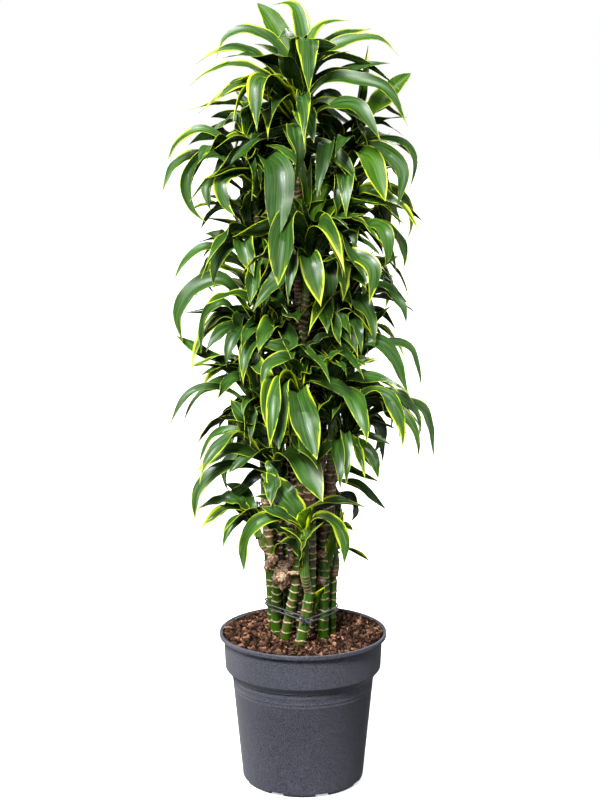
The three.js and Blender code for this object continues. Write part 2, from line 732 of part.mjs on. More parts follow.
// Leaves by rule: a golden turn apart, low ones old and spreading, high ones young and upright,
// the longest and widest between them.
function ruleLeaves(head, number) {
  const draw = drawsFrom(1000 + number * 77);
  for (let i = 0; i < 5; i++) draw();
  const count = head.leaves - head.shown.length;
  const leaves = [];
  for (let i = 0; i < count; i++) {
    const share = (i + 0.5) / count;
    leaves.push({
      root: rootOn(head, share),
      azimuth: head.turn + i * GOLDEN_TURN + draw() * SPREAD.azimuth,
      length: head.length * (0.72 + 0.34 * Math.sin(Math.PI * (0.2 + 0.7 * share)) + draw() * SPREAD.length),
      width: head.width * (0.86 + 0.2 * Math.sin(Math.PI * share) + draw() * SPREAD.width),
      rise: LOW_LEAF.rise + HIGH_GAIN.rise * share + draw() * SPREAD.rise,
      bend: LOW_LEAF.bend + HIGH_GAIN.bend * share * share + draw() * SPREAD.bend,
      drift: draw() * SPREAD.drift,
      twist: draw() * SPREAD.twist,
      rows: RULE_ROWS,
    });
  }
  return leaves;
}

// ---------------------------------------------------------------- pot and soil
// A round stretch of a profile, from one angle to another in count steps.
const roundCorner = (centre, radius, from, to, count) =>
  Array.from({ length: count + 1 }, (_, i) => {
    const angle = radians(between([from, to], i / count));
    return [centre[0] + radius * Math.cos(angle), centre[1] + radius * Math.sin(angle)];
  });

function lathe(profile) {
  const points = profile.map(([radius, height]) => new THREE.Vector2(radius, height));
  return new THREE.LatheGeometry(points, POT_SIDES).rotateX(Math.PI / 2);
}

const innerBody = [BODY_RADIUS[1] - POT_WALL, BODY_RADIUS[0] - POT_WALL];
const innerBand = [BAND_RADIUS[1] - POT_WALL, BAND_RADIUS[0] - POT_WALL];

// The pot: a tapering body with a rounded foot, a step out to a wider band, and a rolled lip.
function potSolid() {
  const profile = [
    [0, 0],
    ...roundCorner([BODY_RADIUS[1] - FOOT_ROUND, FOOT_ROUND], FOOT_ROUND, -90, 0, 2),
    [BODY_RADIUS[0], BAND_BOTTOM - STEP_HEIGHT],
    [BAND_RADIUS[1] - 2, BAND_BOTTOM - 1],
    [BAND_RADIUS[1], BAND_BOTTOM + 2],
    [BAND_RADIUS[0], POT_HEIGHT - LIP_HEIGHT],
    ...roundCorner([LIP_RADIUS - LIP_HEIGHT / 2, POT_HEIGHT - LIP_HEIGHT / 2], LIP_HEIGHT / 2, -60, 90, 3),
    [innerBand[1], POT_HEIGHT - 1.5],
    [innerBand[0], BAND_BOTTOM + 3],
    [innerBody[1], BAND_BOTTOM - STEP_HEIGHT + 2],
    [innerBody[0], POT_FLOOR],
    [0, POT_FLOOR],
  ];
  let solid = solidOf(lathe(profile));
  for (let i = 0; i < DRAIN_COUNT; i++) {
    const notch = new THREE.BoxGeometry(...DRAIN_SIZE);
    notch.translate(BODY_RADIUS[1] - DRAIN_SIZE[0] / 2 + 6, 0, DRAIN_SIZE[2] / 2 - 1);
    solid = solid.subtract(solidOf(notch.rotateZ(radians(DRAIN_TURN + (i * 360) / DRAIN_COUNT))));
  }
  return solid;
}

// The soil fills the pot to just under the lip, a little mounded and lumpy on top.
function soilSolid() {
  const draw = drawsFrom(5);
  const edge = between(innerBand, (SOIL_LEVEL - BAND_BOTTOM) / (POT_HEIGHT - BAND_BOTTOM));
  const profile = [
    [0, POT_FLOOR + SOIL_GAP],
    [innerBody[0] - 5, POT_FLOOR + SOIL_GAP],
    [innerBody[0] - SOIL_GAP, POT_FLOOR + 5],
    [innerBody[1] - SOIL_GAP, BAND_BOTTOM - STEP_HEIGHT + 2],
    [innerBand[0] - SOIL_GAP, BAND_BOTTOM + 4],
    [edge - SOIL_GAP - 0.3, SOIL_LEVEL - 3],
    [edge * 0.82, SOIL_LEVEL + 1],
    [edge * 0.45, SOIL_LEVEL + 4],
    [0, SOIL_LEVEL + 5],
  ];
  const ground = bare(lathe(profile));
  const positions = ground.attributes.position;
  for (let i = 0; i < positions.count; i++) {
    const height = positions.getZ(i);
    if (height > SOIL_LEVEL - 1) positions.setZ(i, height + draw() * SOIL_LUMPS);
  }
  let solid = solidOf(ground);
  for (const cane of CANES) solid = solid.subtract(cane.seat);
  return solid;
}

// ---------------------------------------------------------------- ties
// A wire drawn tight round the canes: it runs from cane to cane, round the outside of each.
function tieLine({ height, turns, rise, from }) {
  const around = CANES.map((cane) => {
    const place = cane.line.findIndex((point) => point[2] > height);
    if (place < 0) return null;
    const [a, b] = [cane.line[place - 1], cane.line[place]];
    const centre = add(a, sub(b, a), (height - a[2]) / (b[2] - a[2]));
    return { centre, radius: cane.radius[0] + TIE_GAP + WIRE_RADIUS };
  }).filter(Boolean);
  const steps = turns * WIRE_STEPS;
  const line = [];
  let before = null;
  for (let i = 0; i <= steps; i++) {
    const angle = radians(from + (i * 360) / WIRE_STEPS);
    const out = [Math.cos(angle), Math.sin(angle), 0];
    const reach = ({ centre, radius }) => dot(centre, out) + radius;
    const widest = around.reduce((best, next) => (reach(next) > reach(best) ? next : best));
    const [x, y] = add(widest.centre, out, widest.radius);
    const spot = { widest, point: [x, y, height + rise * (i / steps - 0.5)] };
    const moved = before && before.widest !== widest;
    if (moved && line.at(-1) !== before.point) line.push(before.point);
    if (moved || i % WIRE_SKIP === 0) line.push(spot.point);
    before = spot;
  }
  return line;
}

// The wire's two ends are twisted together in front, and the twist hangs down to one side.
function tieSolid(tie) {
  const line = tieLine(tie);
  const [start, end] = [line[0], line.at(-1)];
  const knot = add(start, end).map((v) => v / 2);
  const outward = unit([knot[0], knot[1], 0]);
  const aside = cross(outward, UP);
  const twist = add(add(knot, outward, TAIL_OUT), aside, -TAIL_LENGTH);
  const tail = [end, add(add(end, outward, TAIL_OUT - 1), aside, -4), add(twist, UP, -8)];
  const lead = [start, add(add(start, outward, TAIL_OUT - 1), aside, -3), add(twist, UP, -6)];
  return wireSolid(line).add(wireSolid(tail)).add(wireSolid(lead));
}

// ---------------------------------------------------------------- growing
const triangles = (geometry, share) => {
  const p = geometry.toNonIndexed().attributes.position;
  const corners = Array.from({ length: p.count }, (_, i) => [p.getX(i), p.getY(i), p.getZ(i)]);
  return Array.from({ length: p.count / 3 }, (_, i) => ({ corners: corners.slice(i * 3, i * 3 + 3), share }));
};

// Stems and wires take their places first. A head's own leaves may cross its shoot.
for (const cane of CANES) {
  cane.line = caneLine(cane);
  cane.seat = seatSolid(cane);
  const room = cane.radius.map((radius) => radius + RING_RISE);
  take(triangles(sleeve(cane.line, room), 1), cane.name);
}
for (const head of HEADS) {
  head.line = smoothLine(head.shoot);
  take(triangles(sleeve(head.line, SHOOT_RADIUS), 0), head.name);
}
for (const tie of TIES) take(triangles(sleeve(tieLine(tie), [WIRE_RADIUS, WIRE_RADIUS], UP), 1), tie.name);

// Then come the leaves placed one by one, and last the leaves by rule.
for (const head of HEADS) head.placed = head.shown.map((entry) => placeLeaf(shownLeaf(head, entry), head));
HEADS.forEach((head, number) => {
  for (const leaf of ruleLeaves(head, number)) head.placed.push(placeLeaf(leaf, head));
});

// A head: its shoot and its leaves as one body, cut clear of the cane that it grows on.
function headSolid(head) {
  const total = lengthOf(head.line);
  const stations = [0, 0.5, 1].map((share) => [total * share, between(SHOOT_RADIUS, share)]);
  const shoot = solidOf(stemGeometry(head.line, stations, SHOOT_SIDES));
  const blades = head.placed.filter(Boolean).map((leaf) => solidOf(geometryFrom(bladeSkin(leaf))));
  const grown = wasm.Manifold.union([shoot, ...blades]);
  return mainBody(grown.subtract(CANES.find((cane) => cane.name === head.cane).seat));
}

// ---------------------------------------------------------------- the plant in its pot
const FINISH = {
  cane: { color: 0x4a7a2a, roughness: 0.6, metalness: 0 },
  leaf: { color: 0x2e6a1c, roughness: 0.4, metalness: 0 },
  pot: { color: 0x4b4c54, roughness: 0.55, metalness: 0 },
  soil: { color: 0x4a3226, roughness: 1, metalness: 0 },
  wire: { color: 0x222428, roughness: 0.5, metalness: 0 },
};

const plant = new THREE.Group();

function addPart(name, solid, finish) {
  const mesh = new THREE.Mesh(geometryOf(solid), new THREE.MeshStandardMaterial(finish));
  mesh.name = name;
  plant.add(mesh);
}

addPart("pot", potSolid(), FINISH.pot);
addPart("soil", mainBody(soilSolid()), FINISH.soil);
for (const cane of CANES) addPart(cane.name, caneSolid(cane), FINISH.cane);
for (const tie of TIES) addPart(tie.name, tieSolid(tie), FINISH.wire);
for (const head of HEADS) addPart(head.name, headSolid(head), FINISH.leaf);

export default plant;
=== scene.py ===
# The looks of a potted corn plant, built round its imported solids: ringed canes tied in a bundle, heads of
# arching strap leaves with lime margins, bark soil and a plastic nursery pot. Metres, +Z up.
import math
import random

import bmesh
import bpy
import numpy as np
from mathutils import Euler, Matrix, Vector, kdtree, noise


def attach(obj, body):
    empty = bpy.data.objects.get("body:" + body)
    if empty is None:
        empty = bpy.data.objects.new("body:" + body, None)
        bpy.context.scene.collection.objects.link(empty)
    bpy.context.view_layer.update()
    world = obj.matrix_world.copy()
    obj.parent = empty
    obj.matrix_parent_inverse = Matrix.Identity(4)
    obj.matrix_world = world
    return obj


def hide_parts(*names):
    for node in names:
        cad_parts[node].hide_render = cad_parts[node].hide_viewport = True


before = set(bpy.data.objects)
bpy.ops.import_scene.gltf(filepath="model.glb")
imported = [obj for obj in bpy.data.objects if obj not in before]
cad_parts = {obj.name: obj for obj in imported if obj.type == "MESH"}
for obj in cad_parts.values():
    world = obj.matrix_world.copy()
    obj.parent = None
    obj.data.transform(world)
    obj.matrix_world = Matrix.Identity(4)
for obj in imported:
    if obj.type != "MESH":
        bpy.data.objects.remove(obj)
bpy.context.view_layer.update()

MM = 0.001

# ------------------------------------------------------------------ driving dimensions, in millimetres
POT_HEIGHT = 285
POT_WALL = 2.4
POT_FLOOR = 3.5
FOOT_ROUND = 10
STEP_HEIGHT = 12
LIP_HEIGHT = 8
LIP_RADIUS = 155.5
BAND_RADIUS = (147.5, 145)  # just under the lip, and at the band's lower edge
BAND_BOTTOM = 219
BODY_RADIUS = (132.5, 113.5)  # under the step, and at the foot
DRAIN_COUNT = 8
DRAIN_SIZE = (24, 28, 8)  # how deep, wide and high a notch is
DRAIN_TURN = 244  # degrees round to the first one
SOIL_LEVEL = 274
SOIL_GAP = 0.4
BURIED_DEPTH = 105
STRAIGHT_FOOT = (-12, 6)  # from the soil's level: a cane goes straight up through these heights
WIRE_RADIUS = 1.4
TIE_GAP = 1.6
TIE_STEP = 2.5
TAIL_LENGTH = 18
TAIL_TURNS = 2.5

# The camera: its place in millimetres, its tilt in degrees, and its focal length in the picture's pixels.
CAMERA = {"place": (-5.6, -2900, 1210), "down": 9.6, "focal": 1616}
PICTURE = (600, 800)

# ------------------------------------------------------------------ the leaf rule, as the solids have it
SHOOT_RADIUS = (7.5, 5.5)
LEAFY_SHARE = (0.42, 1)
CROWN_DEPTH = 4
ROOT_OUT = 3.5
GOLDEN_TURN = 137.5
SHEATH_RISE = 70
SHEATH_SHARE = 0.14
BEND_POWER = 1.6
MIDRIB_STEPS = 48
SHARES = np.arange(MIDRIB_STEPS + 1) / MIDRIB_STEPS  # of a leaf's length, at the points of its midrib
LOW_LEAF = {"rise": 40, "bend": 158}
HIGH_GAIN = {"rise": 44, "bend": -84}
SPREAD = {"azimuth": 12, "length": 0.08, "width": 0.1, "rise": 7, "bend": 16, "drift": 20, "twist": 50}
ASIDE = (
    (0, 0), (7, 0), (-7, 0), (0, 8), (0, -8), (14, 0), (-14, 0), (10, 10), (-10, 10), (10, -10), (-10, -10),
    (21, 0), (-21, 0), (18, 12), (-18, 12), (28, 0), (-28, 0), (0, 18), (24, -10), (-24, -10), (0, -18),
)
SHORTER = (1, 0.8, 0.62)

# Each cane: its foot on the soil, its radius at foot and top, and the points it passes on its way up.
CANES = {
    "cane_front": ((-5, -68), (10, 8.5), ((6, -62, 340), (14, -58, 410), (12, -62, 540), (0, -66, 640))),
    "cane_tall_middle": (
        (-33, -27), (9.5, 7.5),
        ((-24, -30, 330), (-12, -33, 400), (-4, -40, 560), (-5, -42, 760), (3, -46, 880)),
    ),
    "cane_right": ((37, -20), (10, 9.5), ((38, -19, 400), (43, -14, 520), (49, -12, 594))),
    "cane_left_front": (
        (-50, 2), (9.5, 7.5),
        ((-50, 0, 330), (-49, -10, 394), (-60, -12, 430), (-66, -6, 520), (-72, 0, 622)),
    ),
    "cane_left": ((-55, 34), (10, 8.5), ((-62, 30, 400), (-70, 26, 560), (-74, 16, 730))),
    "cane_centre": ((4, 6), (10.5, 8), ((3, 8, 500), (-4, 12, 800), (-9, 6, 1040), (-9, 2, 1110))),
    "cane_right_back": ((44, 34), (10, 8), ((50, 32, 500), (60, 26, 800), (70, 16, 940))),
    "cane_back_right": ((14, 54), (10, 8), ((24, 52, 500), (46, 54, 800), (66, 40, 1020))),
    "cane_back_left": ((-26, 42), (10, 8), ((-36, 40, 500), (-54, 26, 800), (-78, -2, 1020))),
    "cane_back": ((-14, 80), (10, 8), ((-18, 80, 500), (-30, 76, 800), (-58, 62, 1050))),
    "cane_right_thin": ((54, 4), (6.5, 6), ((56, 4, 340), (58, 4, 390))),
}

# Each head: its name, its shoot's way up to the crown, its number of leaves, their length and width, the
# azimuth where the leaf rule starts, and the leaves placed one by one, as LISTED has them. The rest follow
# the rule.
HEAD_KEYS = ("name", "shoot", "leaves", "length", "width", "turn", "shown")
LISTED = ("azimuth", "share", "length", "width", "rise", "bend", "twist", "drift")
HEADS = [dict(zip(HEAD_KEYS, row)) for row in (
    ("head_right_top", ((66, 40, 1019), (74, 28, 1080), (80, 18, 1150)), 12, 200, 32, 100, (
        (16, 0.95, 185, 44, 68, 26, 45), (50, 1, 205, 38, 82, 22, 20), (352, 0.55, 215, 34, 68, 192, 45),
        (326, 0.4, 205, 32, 55, 190, 40), (298, 0.3, 240, 40, 62, 192, 20),
    )),
    ("head_top", ((-9, 2, 1109), (-9, 1, 1170), (-9, 0, 1236)), 20, 220, 36, 60, (
        (136, 0.95, 225, 46, 72, 22, -25), (108, 1, 212, 32, 86, 60, -30, 40),
        (280, 0.98, 268, 50, 86, 196, 10), (20, 0.95, 200, 24, 86, 64, 40), (32, 0.9, 250, 28, 84, 100, 40),
        (5, 0.9, 270, 38, 82, 134, 45), (180, 1, 290, 38, 89, 166, -45), (195, 0.75, 245, 34, 70, 110, -45),
        (172, 0.75, 255, 34, 66, 128, -45), (208, 0.5, 210, 32, 60, 115, -40),
        (210, 0.45, 230, 32, 54, 116, -35), (240, 0.55, 250, 46, 76, 185, -25),
        (343, 0.45, 260, 36, 60, 140, 45), (322, 0.3, 210, 36, 50, 135, 35), (18, 0.2, 180, 32, 48, 115, 45),
    )),
    ("head_front_middle", ((3, -46, 879), (6, -50, 930), (8, -52, 990)), 14, 190, 38, 250, (
        (60, 1, 130, 44, 84, 30, 25), (18, 0.9, 140, 40, 62, 24, 45), (110, 1, 185, 26, 87, 12, -15),
        (248, 0.7, 225, 52, 74, 185, -20), (332, 0.35, 215, 36, 42, 160, 40),
        (285, 0.4, 180, 42, 55, 172, 10),
    )),
    ("head_left_top", ((-78, -2, 1019), (-88, -12, 1080), (-94, -20, 1146)), 13, 195, 32, 80, (
        (150, 1, 100, 36, 80, 10, -40), (280, 1, 60, 24, 82, 20, 10), (180, 0.65, 215, 32, 62, 140, -45),
        (205, 0.5, 240, 40, 53, 200, -45), (166, 0.3, 215, 28, 48, 125, -45),
        (238, 0.25, 175, 32, 48, 170, -30), (212, 0.15, 165, 28, 38, 155, -40),
        (274, 0.25, 265, 48, 62, 176, 10),
    )),
    ("head_left_back_top", ((-58, 62, 1049), (-68, 56, 1100), (-74, 50, 1165)), 11, 195, 32, 90, (
        (332, 0.3, 210, 36, 38, 105, 45), (305, 0.5, 200, 38, 58, 155, 25), (110, 1, 120, 32, 80, 30, -15),
    )),
    ("head_right_middle", ((70, 16, 939), (76, 10, 990), (80, 6, 1050)), 12, 185, 30, 60, (
        (280, 0.3, 110, 28, 48, 160, 10), (310, 0.2, 160, 30, 44, 168, 30), (348, 0.7, 165, 28, 64, 205, 45),
        (6, 0.5, 195, 28, 66, 205, 45), (325, 0.1, 165, 26, 38, 160, 40), (357, 0.15, 165, 26, 40, 168, 45),
    )),
    ("head_left_middle", ((-62, 16, 880), (-88, 4, 930), (-94, 0, 1005)), 10, 180, 30, 90, (
        (186, 0.8, 94, 28, 36, 40, -45), (228, 0.4, 145, 34, 42, 165, -35),
        (265, 0.2, 130, 30, 28, 135, -10), (178, 0.35, 200, 30, 43, 140, -45),
        (284, 0.4, 125, 34, 44, 150, 10),
    )),
    ("head_left_lower_middle", ((-74, 16, 729), (-78, 8, 790), (-80, 4, 850)), 11, 190, 32, 60, (
        (180, 0.7, 285, 40, 80, 210, -45), (192, 0.55, 178, 34, 53, 172, -45),
        (208, 0.55, 140, 30, 40, 135, -40), (236, 0.5, 145, 34, 43, 155, -25),
    )),
    ("head_right_lower_middle", ((58, 28, 760), (74, 18, 820), (74, 14, 890)), 10, 180, 32, 340, (
        (300, 0.4, 150, 36, 50, 165, 20), (335, 0.6, 170, 32, 60, 160, 40), (20, 0.9, 150, 34, 66, 60, 40),
    )),
    ("head_centre_upper", ((-6, 10, 900), (24, -10, 950), (28, -16, 1030)), 9, 170, 38, 290, ()),
    ("head_centre_left", ((-51, 27, 740), (-44, 2, 780), (-42, -8, 840)), 9, 165, 42, 260, (
        (120, 0.95, 120, 44, 80, 20, -20), (70, 0.9, 115, 42, 76, 30, 20), (250, 0.5, 150, 44, 66, 165, -15),
        (290, 0.4, 150, 44, 60, 160, 15),
    )),
    ("head_centre_right", ((57, 28, 740), (34, 6, 780), (28, -2, 840)), 9, 165, 40, 290, (
        (60, 0.95, 120, 44, 80, 20, 20), (270, 0.7, 150, 42, 74, 150, 0), (310, 0.4, 140, 40, 56, 150, 25),
    )),
    ("head_right_lower", ((49, -12, 593), (52, -36, 660), (52, -44, 760)), 12, 185, 34, 230, (
        (90, 1, 90, 42, 82, 10, 0), (352, 0.6, 240, 32, 80, 178, 45), (340, 0.6, 175, 32, 46, 105, 40),
        (328, 0.3, 205, 34, 38, 150, 40), (5, 0.7, 270, 34, 66, 175, 45), (22, 0.95, 190, 40, 66, 42, 45),
        (300, 0.3, 175, 36, 48, 165, 25),
    )),
    ("head_right_outer", ((46, -14, 560), (72, -6, 600), (84, 0, 676)), 11, 185, 28, 60, (
        (338, 0.3, 105, 22, 43, 90, 40), (350, 0.7, 225, 28, 66, 200, 45), (2, 0.6, 265, 28, 60, 168, 45),
        (335, 0.4, 215, 28, 55, 178, 45), (290, 0.3, 135, 26, 28, 135, 15), (310, 0.2, 125, 26, 28, 130, 35),
    )),
    ("head_centre_lower", ((0, -66, 639), (-5, -68, 690), (-6, -68, 752)), 12, 185, 38, 100, (
        (212, 0.7, 200, 36, 78, 198, -45), (242, 0.3, 205, 50, 52, 165, -30),
        (284, 0.2, 225, 54, 56, 162, 10), (262, 1, 60, 26, 70, 20, -5), (140, 0.9, 120, 36, 70, 40, -35),
    )),
    ("head_left_lower", ((-66, -6, 530), (-50, -26, 566), (-44, -36, 622)), 10, 190, 34, 60, (
        (168, 0.9, 142, 40, 56, 12, -45), (187, 0.4, 190, 36, 46, 100, -45),
        (175, 0.7, 220, 34, 60, 150, -45), (192, 0.2, 245, 32, 44, 158, -45),
        (312, 0.5, 200, 52, 40, 100, 35),
    )),
    ("head_left_outer", ((-72, 0, 621), (-84, 2, 670), (-92, 2, 722)), 10, 190, 30, 90, (
        (172, 0.85, 190, 42, 50, 24, -45), (150, 1, 105, 28, 66, 10, -40), (180, 0.5, 180, 28, 48, 150, -45),
        (190, 0.45, 215, 28, 42, 140, -45),
    )),
    ("head_lowest_front", ((11, -58, 372), (3, -84, 420), (3, -92, 500)), 8, 145, 30, 100, (
        (170, 0.9, 140, 42, 66, 60, -45), (197, 0.4, 160, 34, 38, 125, -45),
        (335, 0.4, 140, 32, 43, 155, 45), (182, 0.7, 100, 26, 30, 10, -45),
    )),
    ("head_lowest_left", ((-63, -11, 436), (-80, -18, 462), (-88, -20, 502)), 8, 120, 26, 90, (
        (180, 0.7, 135, 28, 48, 95, -45), (192, 0.5, 122, 28, 43, 105, -45),
        (215, 0.3, 105, 22, 38, 145, -40), (168, 0.9, 70, 28, 45, 40, -45),
    )),
    ("head_lowest_right", ((58, 4, 389), (61, 2, 416), (62, 2, 450)), 5, 90, 18, 30, (
        (60, 1, 75, 16, 80, 10, 25), (0, 0.6, 60, 18, 50, 60, 45),
    )),
    ("head_back_lowest", ((20, 52, 430), (22, 88, 480), (22, 96, 560)), 8, 180, 32, 80, ()),
    ("head_back_left_lower", ((-20, 80, 560), (-50, 92, 610), (-60, 96, 690)), 8, 190, 32, 130, ()),
    ("head_back_right_lower", ((32, 53, 600), (52, 78, 640), (62, 88, 720)), 8, 190, 32, 50, ()),
    ("head_back_middle", ((-26, 78, 740), (-4, 94, 790), (2, 98, 860)), 9, 190, 32, 90, ()),
    ("head_back_left_middle", ((-38, 74, 880), (-66, 84, 920), (-74, 88, 990)), 8, 190, 32, 140, ()),
    ("head_back_right_middle", ((50, 52, 840), (66, 76, 890), (70, 84, 970)), 8, 190, 32, 40, ()),
    ("head_back_top", ((-7, 8, 960), (0, 50, 1010), (4, 66, 1090)), 9, 190, 32, 100, ()),
)]

# Leaves with a drawn course, by head and place in its list: the width, the roll in degrees at root and
# tip, the fineness of the tip, and the places passed, as pixels across and down in the picture and the depth
# in millimetres, with the tip last. None stands for the leaf's own value.
DRAWN = {
    "head_top": {
        0: (42, (-25, -42), 0.95, (294, 84, 9), (287, 54, 26), (273, 22, 50), None),
        1: (36, (0, -25), 1.1, (300, 80, 6), (303, 40, 14), (298, 12, 34), (289, 4, 46), None),
        2: (
            46, (0, -8), 1.5, (298, 80, -6), (302, 50, -22), (304, 40, -36), (306, 40, -52), (307, 50, -70),
            (309, 96, -95),
        ),
        3: (22, (0, 40), None, (303, 78, 3), (308, 46, 8), (322, 24, 18), None),
        4: (28, (0, 45), None, (306, 84, 4), (318, 55, 20), (342, 36, 50), None),
        5: (30, (0, 55), 1.7, (304, 90, 1), (319, 60, 3), (345, 42, 6), (378, 38, 11), (399, 56, 16)),
        6: (
            30, (0, -55), 1.6, (292, 74, 0), (277, 48, 0), (256, 32, 0), (236, 31, 0), (223, 41, 0),
            (216, 59, 0),
        ),
        7: (30, (0, -55), None, (288, 98, -6), (266, 66, -16), (240, 49, -28), (215, 52, -38), None),
        8: (26, (0, -30), None, (288, 100, 3), (265, 76, 8), (238, 64, 14), (208, 72, 22), None),
        9: (32, (0, -50), None, (286, 112, -14), (264, 87, -34), (238, 84, -55), None),
        10: (30, (0, -30), None, (284, 118, -14), (262, 98, -30), (230, 92, -52), None),
        11: (
            42, (0, -15), 1.4, (291, 104, -20), (276, 84, -56), (264, 79, -78), (258, 82, -92),
            (256, 94, -104), (257, 132, -118),
        ),
        12: (
            34, (0, 60), 1.5, (306, 105, -8), (328, 81, -20), (358, 81, -35), (388, 91, -48),
            (408, 127, -57),
        ),
        13: (36, (0, 45), 1.4, (308, 128, -20), (330, 108, -45), (358, 107, -75), (381, 141, -98)),
    },
    "head_right_top": {
        0: (42, (10, 62), 0.85, (354, 148, 22), (368, 120, 30), (390, 92, 40), (411, 73, 47)),
        1: (34, (150, 165), 1.3, (353, 128, 30), (358, 95, 42), (364, 66, 54), (368, 45, 60)),
        2: (28, (0, 30), 1.5, (358, 150, 19), (378, 141, 16), (402, 145, 10), (414, 163, 7), (409, 191, 5)),
        3: (32, (0, 65), 1.4, (360, 155, 0), (383, 152, -20), (403, 172, -35), (397, 209, -42)),
        4: (44, (0, 20), 1.0, (355, 160, -10), (369, 158, -50), (378, 180, -80), None),
    },
    "head_front_middle": {
        0: (48, (20, 60), 1.0, (308, 234, -50), (312, 212, -48), (320, 194, -44), (334, 187, -38)),
        2: (22, (0, 0), None, (309, 225, -46), (311, 195, -44), (311, 155, -42)),
        3: (
            58, (0, -14), 1.05, (302, 240, -75), (294, 226, -105), (289, 224, -125), (284, 234, -146),
            (278, 286, -165),
        ),
        4: (34, (0, 50), 1.4, (325, 263, -70), (350, 256, -90), (373, 268, -108), (369, 305, -118)),
        5: (
            42, (0, 14), 1.3, (309, 266, -76), (309, 259, -96), (310, 261, -112), (313, 273, -124),
            (321, 307, -138),
        ),
    },
    "head_left_top": {
        2: (
            24, (0, -40), None, (240, 165, -17), (222, 141, -17), (200, 131, -17), (179, 141, -17),
            (167, 163, -17),
        ),
        3: (
            28, (0, -75), 1.4, (240, 172, -30), (222, 156, -42), (198, 160, -56), (185, 183, -64),
            (191, 208, -70), (208, 224, -74),
        ),
        4: (26, (0, -60), 1.1, (242, 180, -8), (222, 158, 2), (196, 156, 12), (174, 167, 22), (162, 193, 28)),
        5: (
            30, (0, -30), None, (246, 182, -40), (232, 176, -65), (220, 184, -90), (225, 204, -100),
            (236, 217, -105),
        ),
        6: (22, None, None, (240, 190, -25), (222, 180, -42), (206, 187, -60), (211, 212, -71)),
        7: (
            56, (0, 14), 0.95, (258, 174, -42), (266, 163, -76), (271, 163, -96), (279, 178, -124),
            (276, 240, -150),
        ),
    },
    "head_left_back_top": {
        0: (42, (0, 45), 1.2, (285, 156, 10), (314, 148, -25), (340, 158, -45), (357, 181, -55)),
    },
    "head_left_middle": {
        2: (40, (0, -8), 1.3, (253, 270, -22), (255, 265, -42), (254, 268, -58), (250, 305, -84)),
        3: (24, None, None, (232, 256, 4), (208, 248, 5), (186, 260, 7), (172, 284, 7)),
        4: (40, (0, 10), 1.3, (252, 256, -20), (247, 245, -38), (244, 246, -52), (254, 277, -78)),
    },
    "head_left_lower_middle": {
        0: (34, (0, -70), 1.3, (246, 312, 5), (222, 281, 5), (193, 289, 5), (178, 314, 5), (183, 343, 5)),
        1: (28, None, None, (240, 325, 0), (222, 304, -6), (205, 322, -14), (201, 354, -18)),
        2: (26, None, None, (250, 330, -12), (238, 318, -28), (240, 358, -44)),
    },
    "head_left_outer": {
        0: (32, (0, -60), 1.1, (243, 392, 4), (225, 368, 8), (201, 353, 16), None),
        3: (24, None, None, (238, 398, -4), (212, 388, -12), (186, 397, -20), (168, 429, -26)),
    },
    "head_left_lower": {
        0: (44, (-10, -70), 1.1, (268, 448, -32), (250, 424, -26), None),
        1: (32, (0, -55), None, (258, 460, -34), (230, 451, -40), (193, 473, -50)),
        2: (24, None, None, (262, 450, -30), (238, 432, -26), (213, 438, -22), (198, 465, -19)),
        3: (30, None, None, (252, 468, -38), (222, 468, -50), (198, 491, -58), (195, 523, -62)),
        4: (54, (0, 25), 1.15, (284, 454, -60), (301, 460, -112), (323, 502, -170)),
    },
    "head_centre_lower": {
        0: (32, (0, -45), None, (297, 372, -85), (283, 360, -105), (266, 368, -130), (261, 392, -140)),
        1: (56, (0, -12), 1.1, (293, 396, -95), (276, 390, -138), (279, 450, -185)),
        2: (60, (0, 10), 1.1, (300, 398, -100), (298, 399, -150), (317, 460, -205)),
    },
    "head_right_lower": {
        1: (34, (0, 60), 1.3, (345, 374, -46), (360, 345, -52), (388, 350, -58), (409, 397, -63)),
        4: (24, None, None, (350, 372, -38), (378, 346, -34), (410, 350, -30), (422, 390, -27)),
    },
    "head_right_outer": {
        2: (28, None, None, (368, 420, -1), (398, 404, 1), (425, 413, 3), (434, 459, 4)),
    },
    "head_lowest_right": {
        1: (12, (0, 20), None, (335, 545, -6), (347, 530, -10)),
    },
    "head_lowest_front": {
        0: (48, (-10, -75), 1.1, (296, 512, -92), (284, 496, -90), (266, 472, -84)),
        1: (36, (0, -55), 1.4, (288, 521, -100), (262, 522, -112), (246, 542, -120), (244, 574, -126)),
        2: (30, (0, 60), 1.4, (318, 518, -102), (335, 524, -114), (344, 543, -122), (344, 566, -126)),
        5: (34, (0, -60), None, (291, 522, -106), (277, 514, -114), (261, 507, -116)),
    },
}
RAISED = {"head_lowest_front": {1: 0.9, 2: 0.9, 5: 0.85}}  # roots moved up their shoot: their height shares

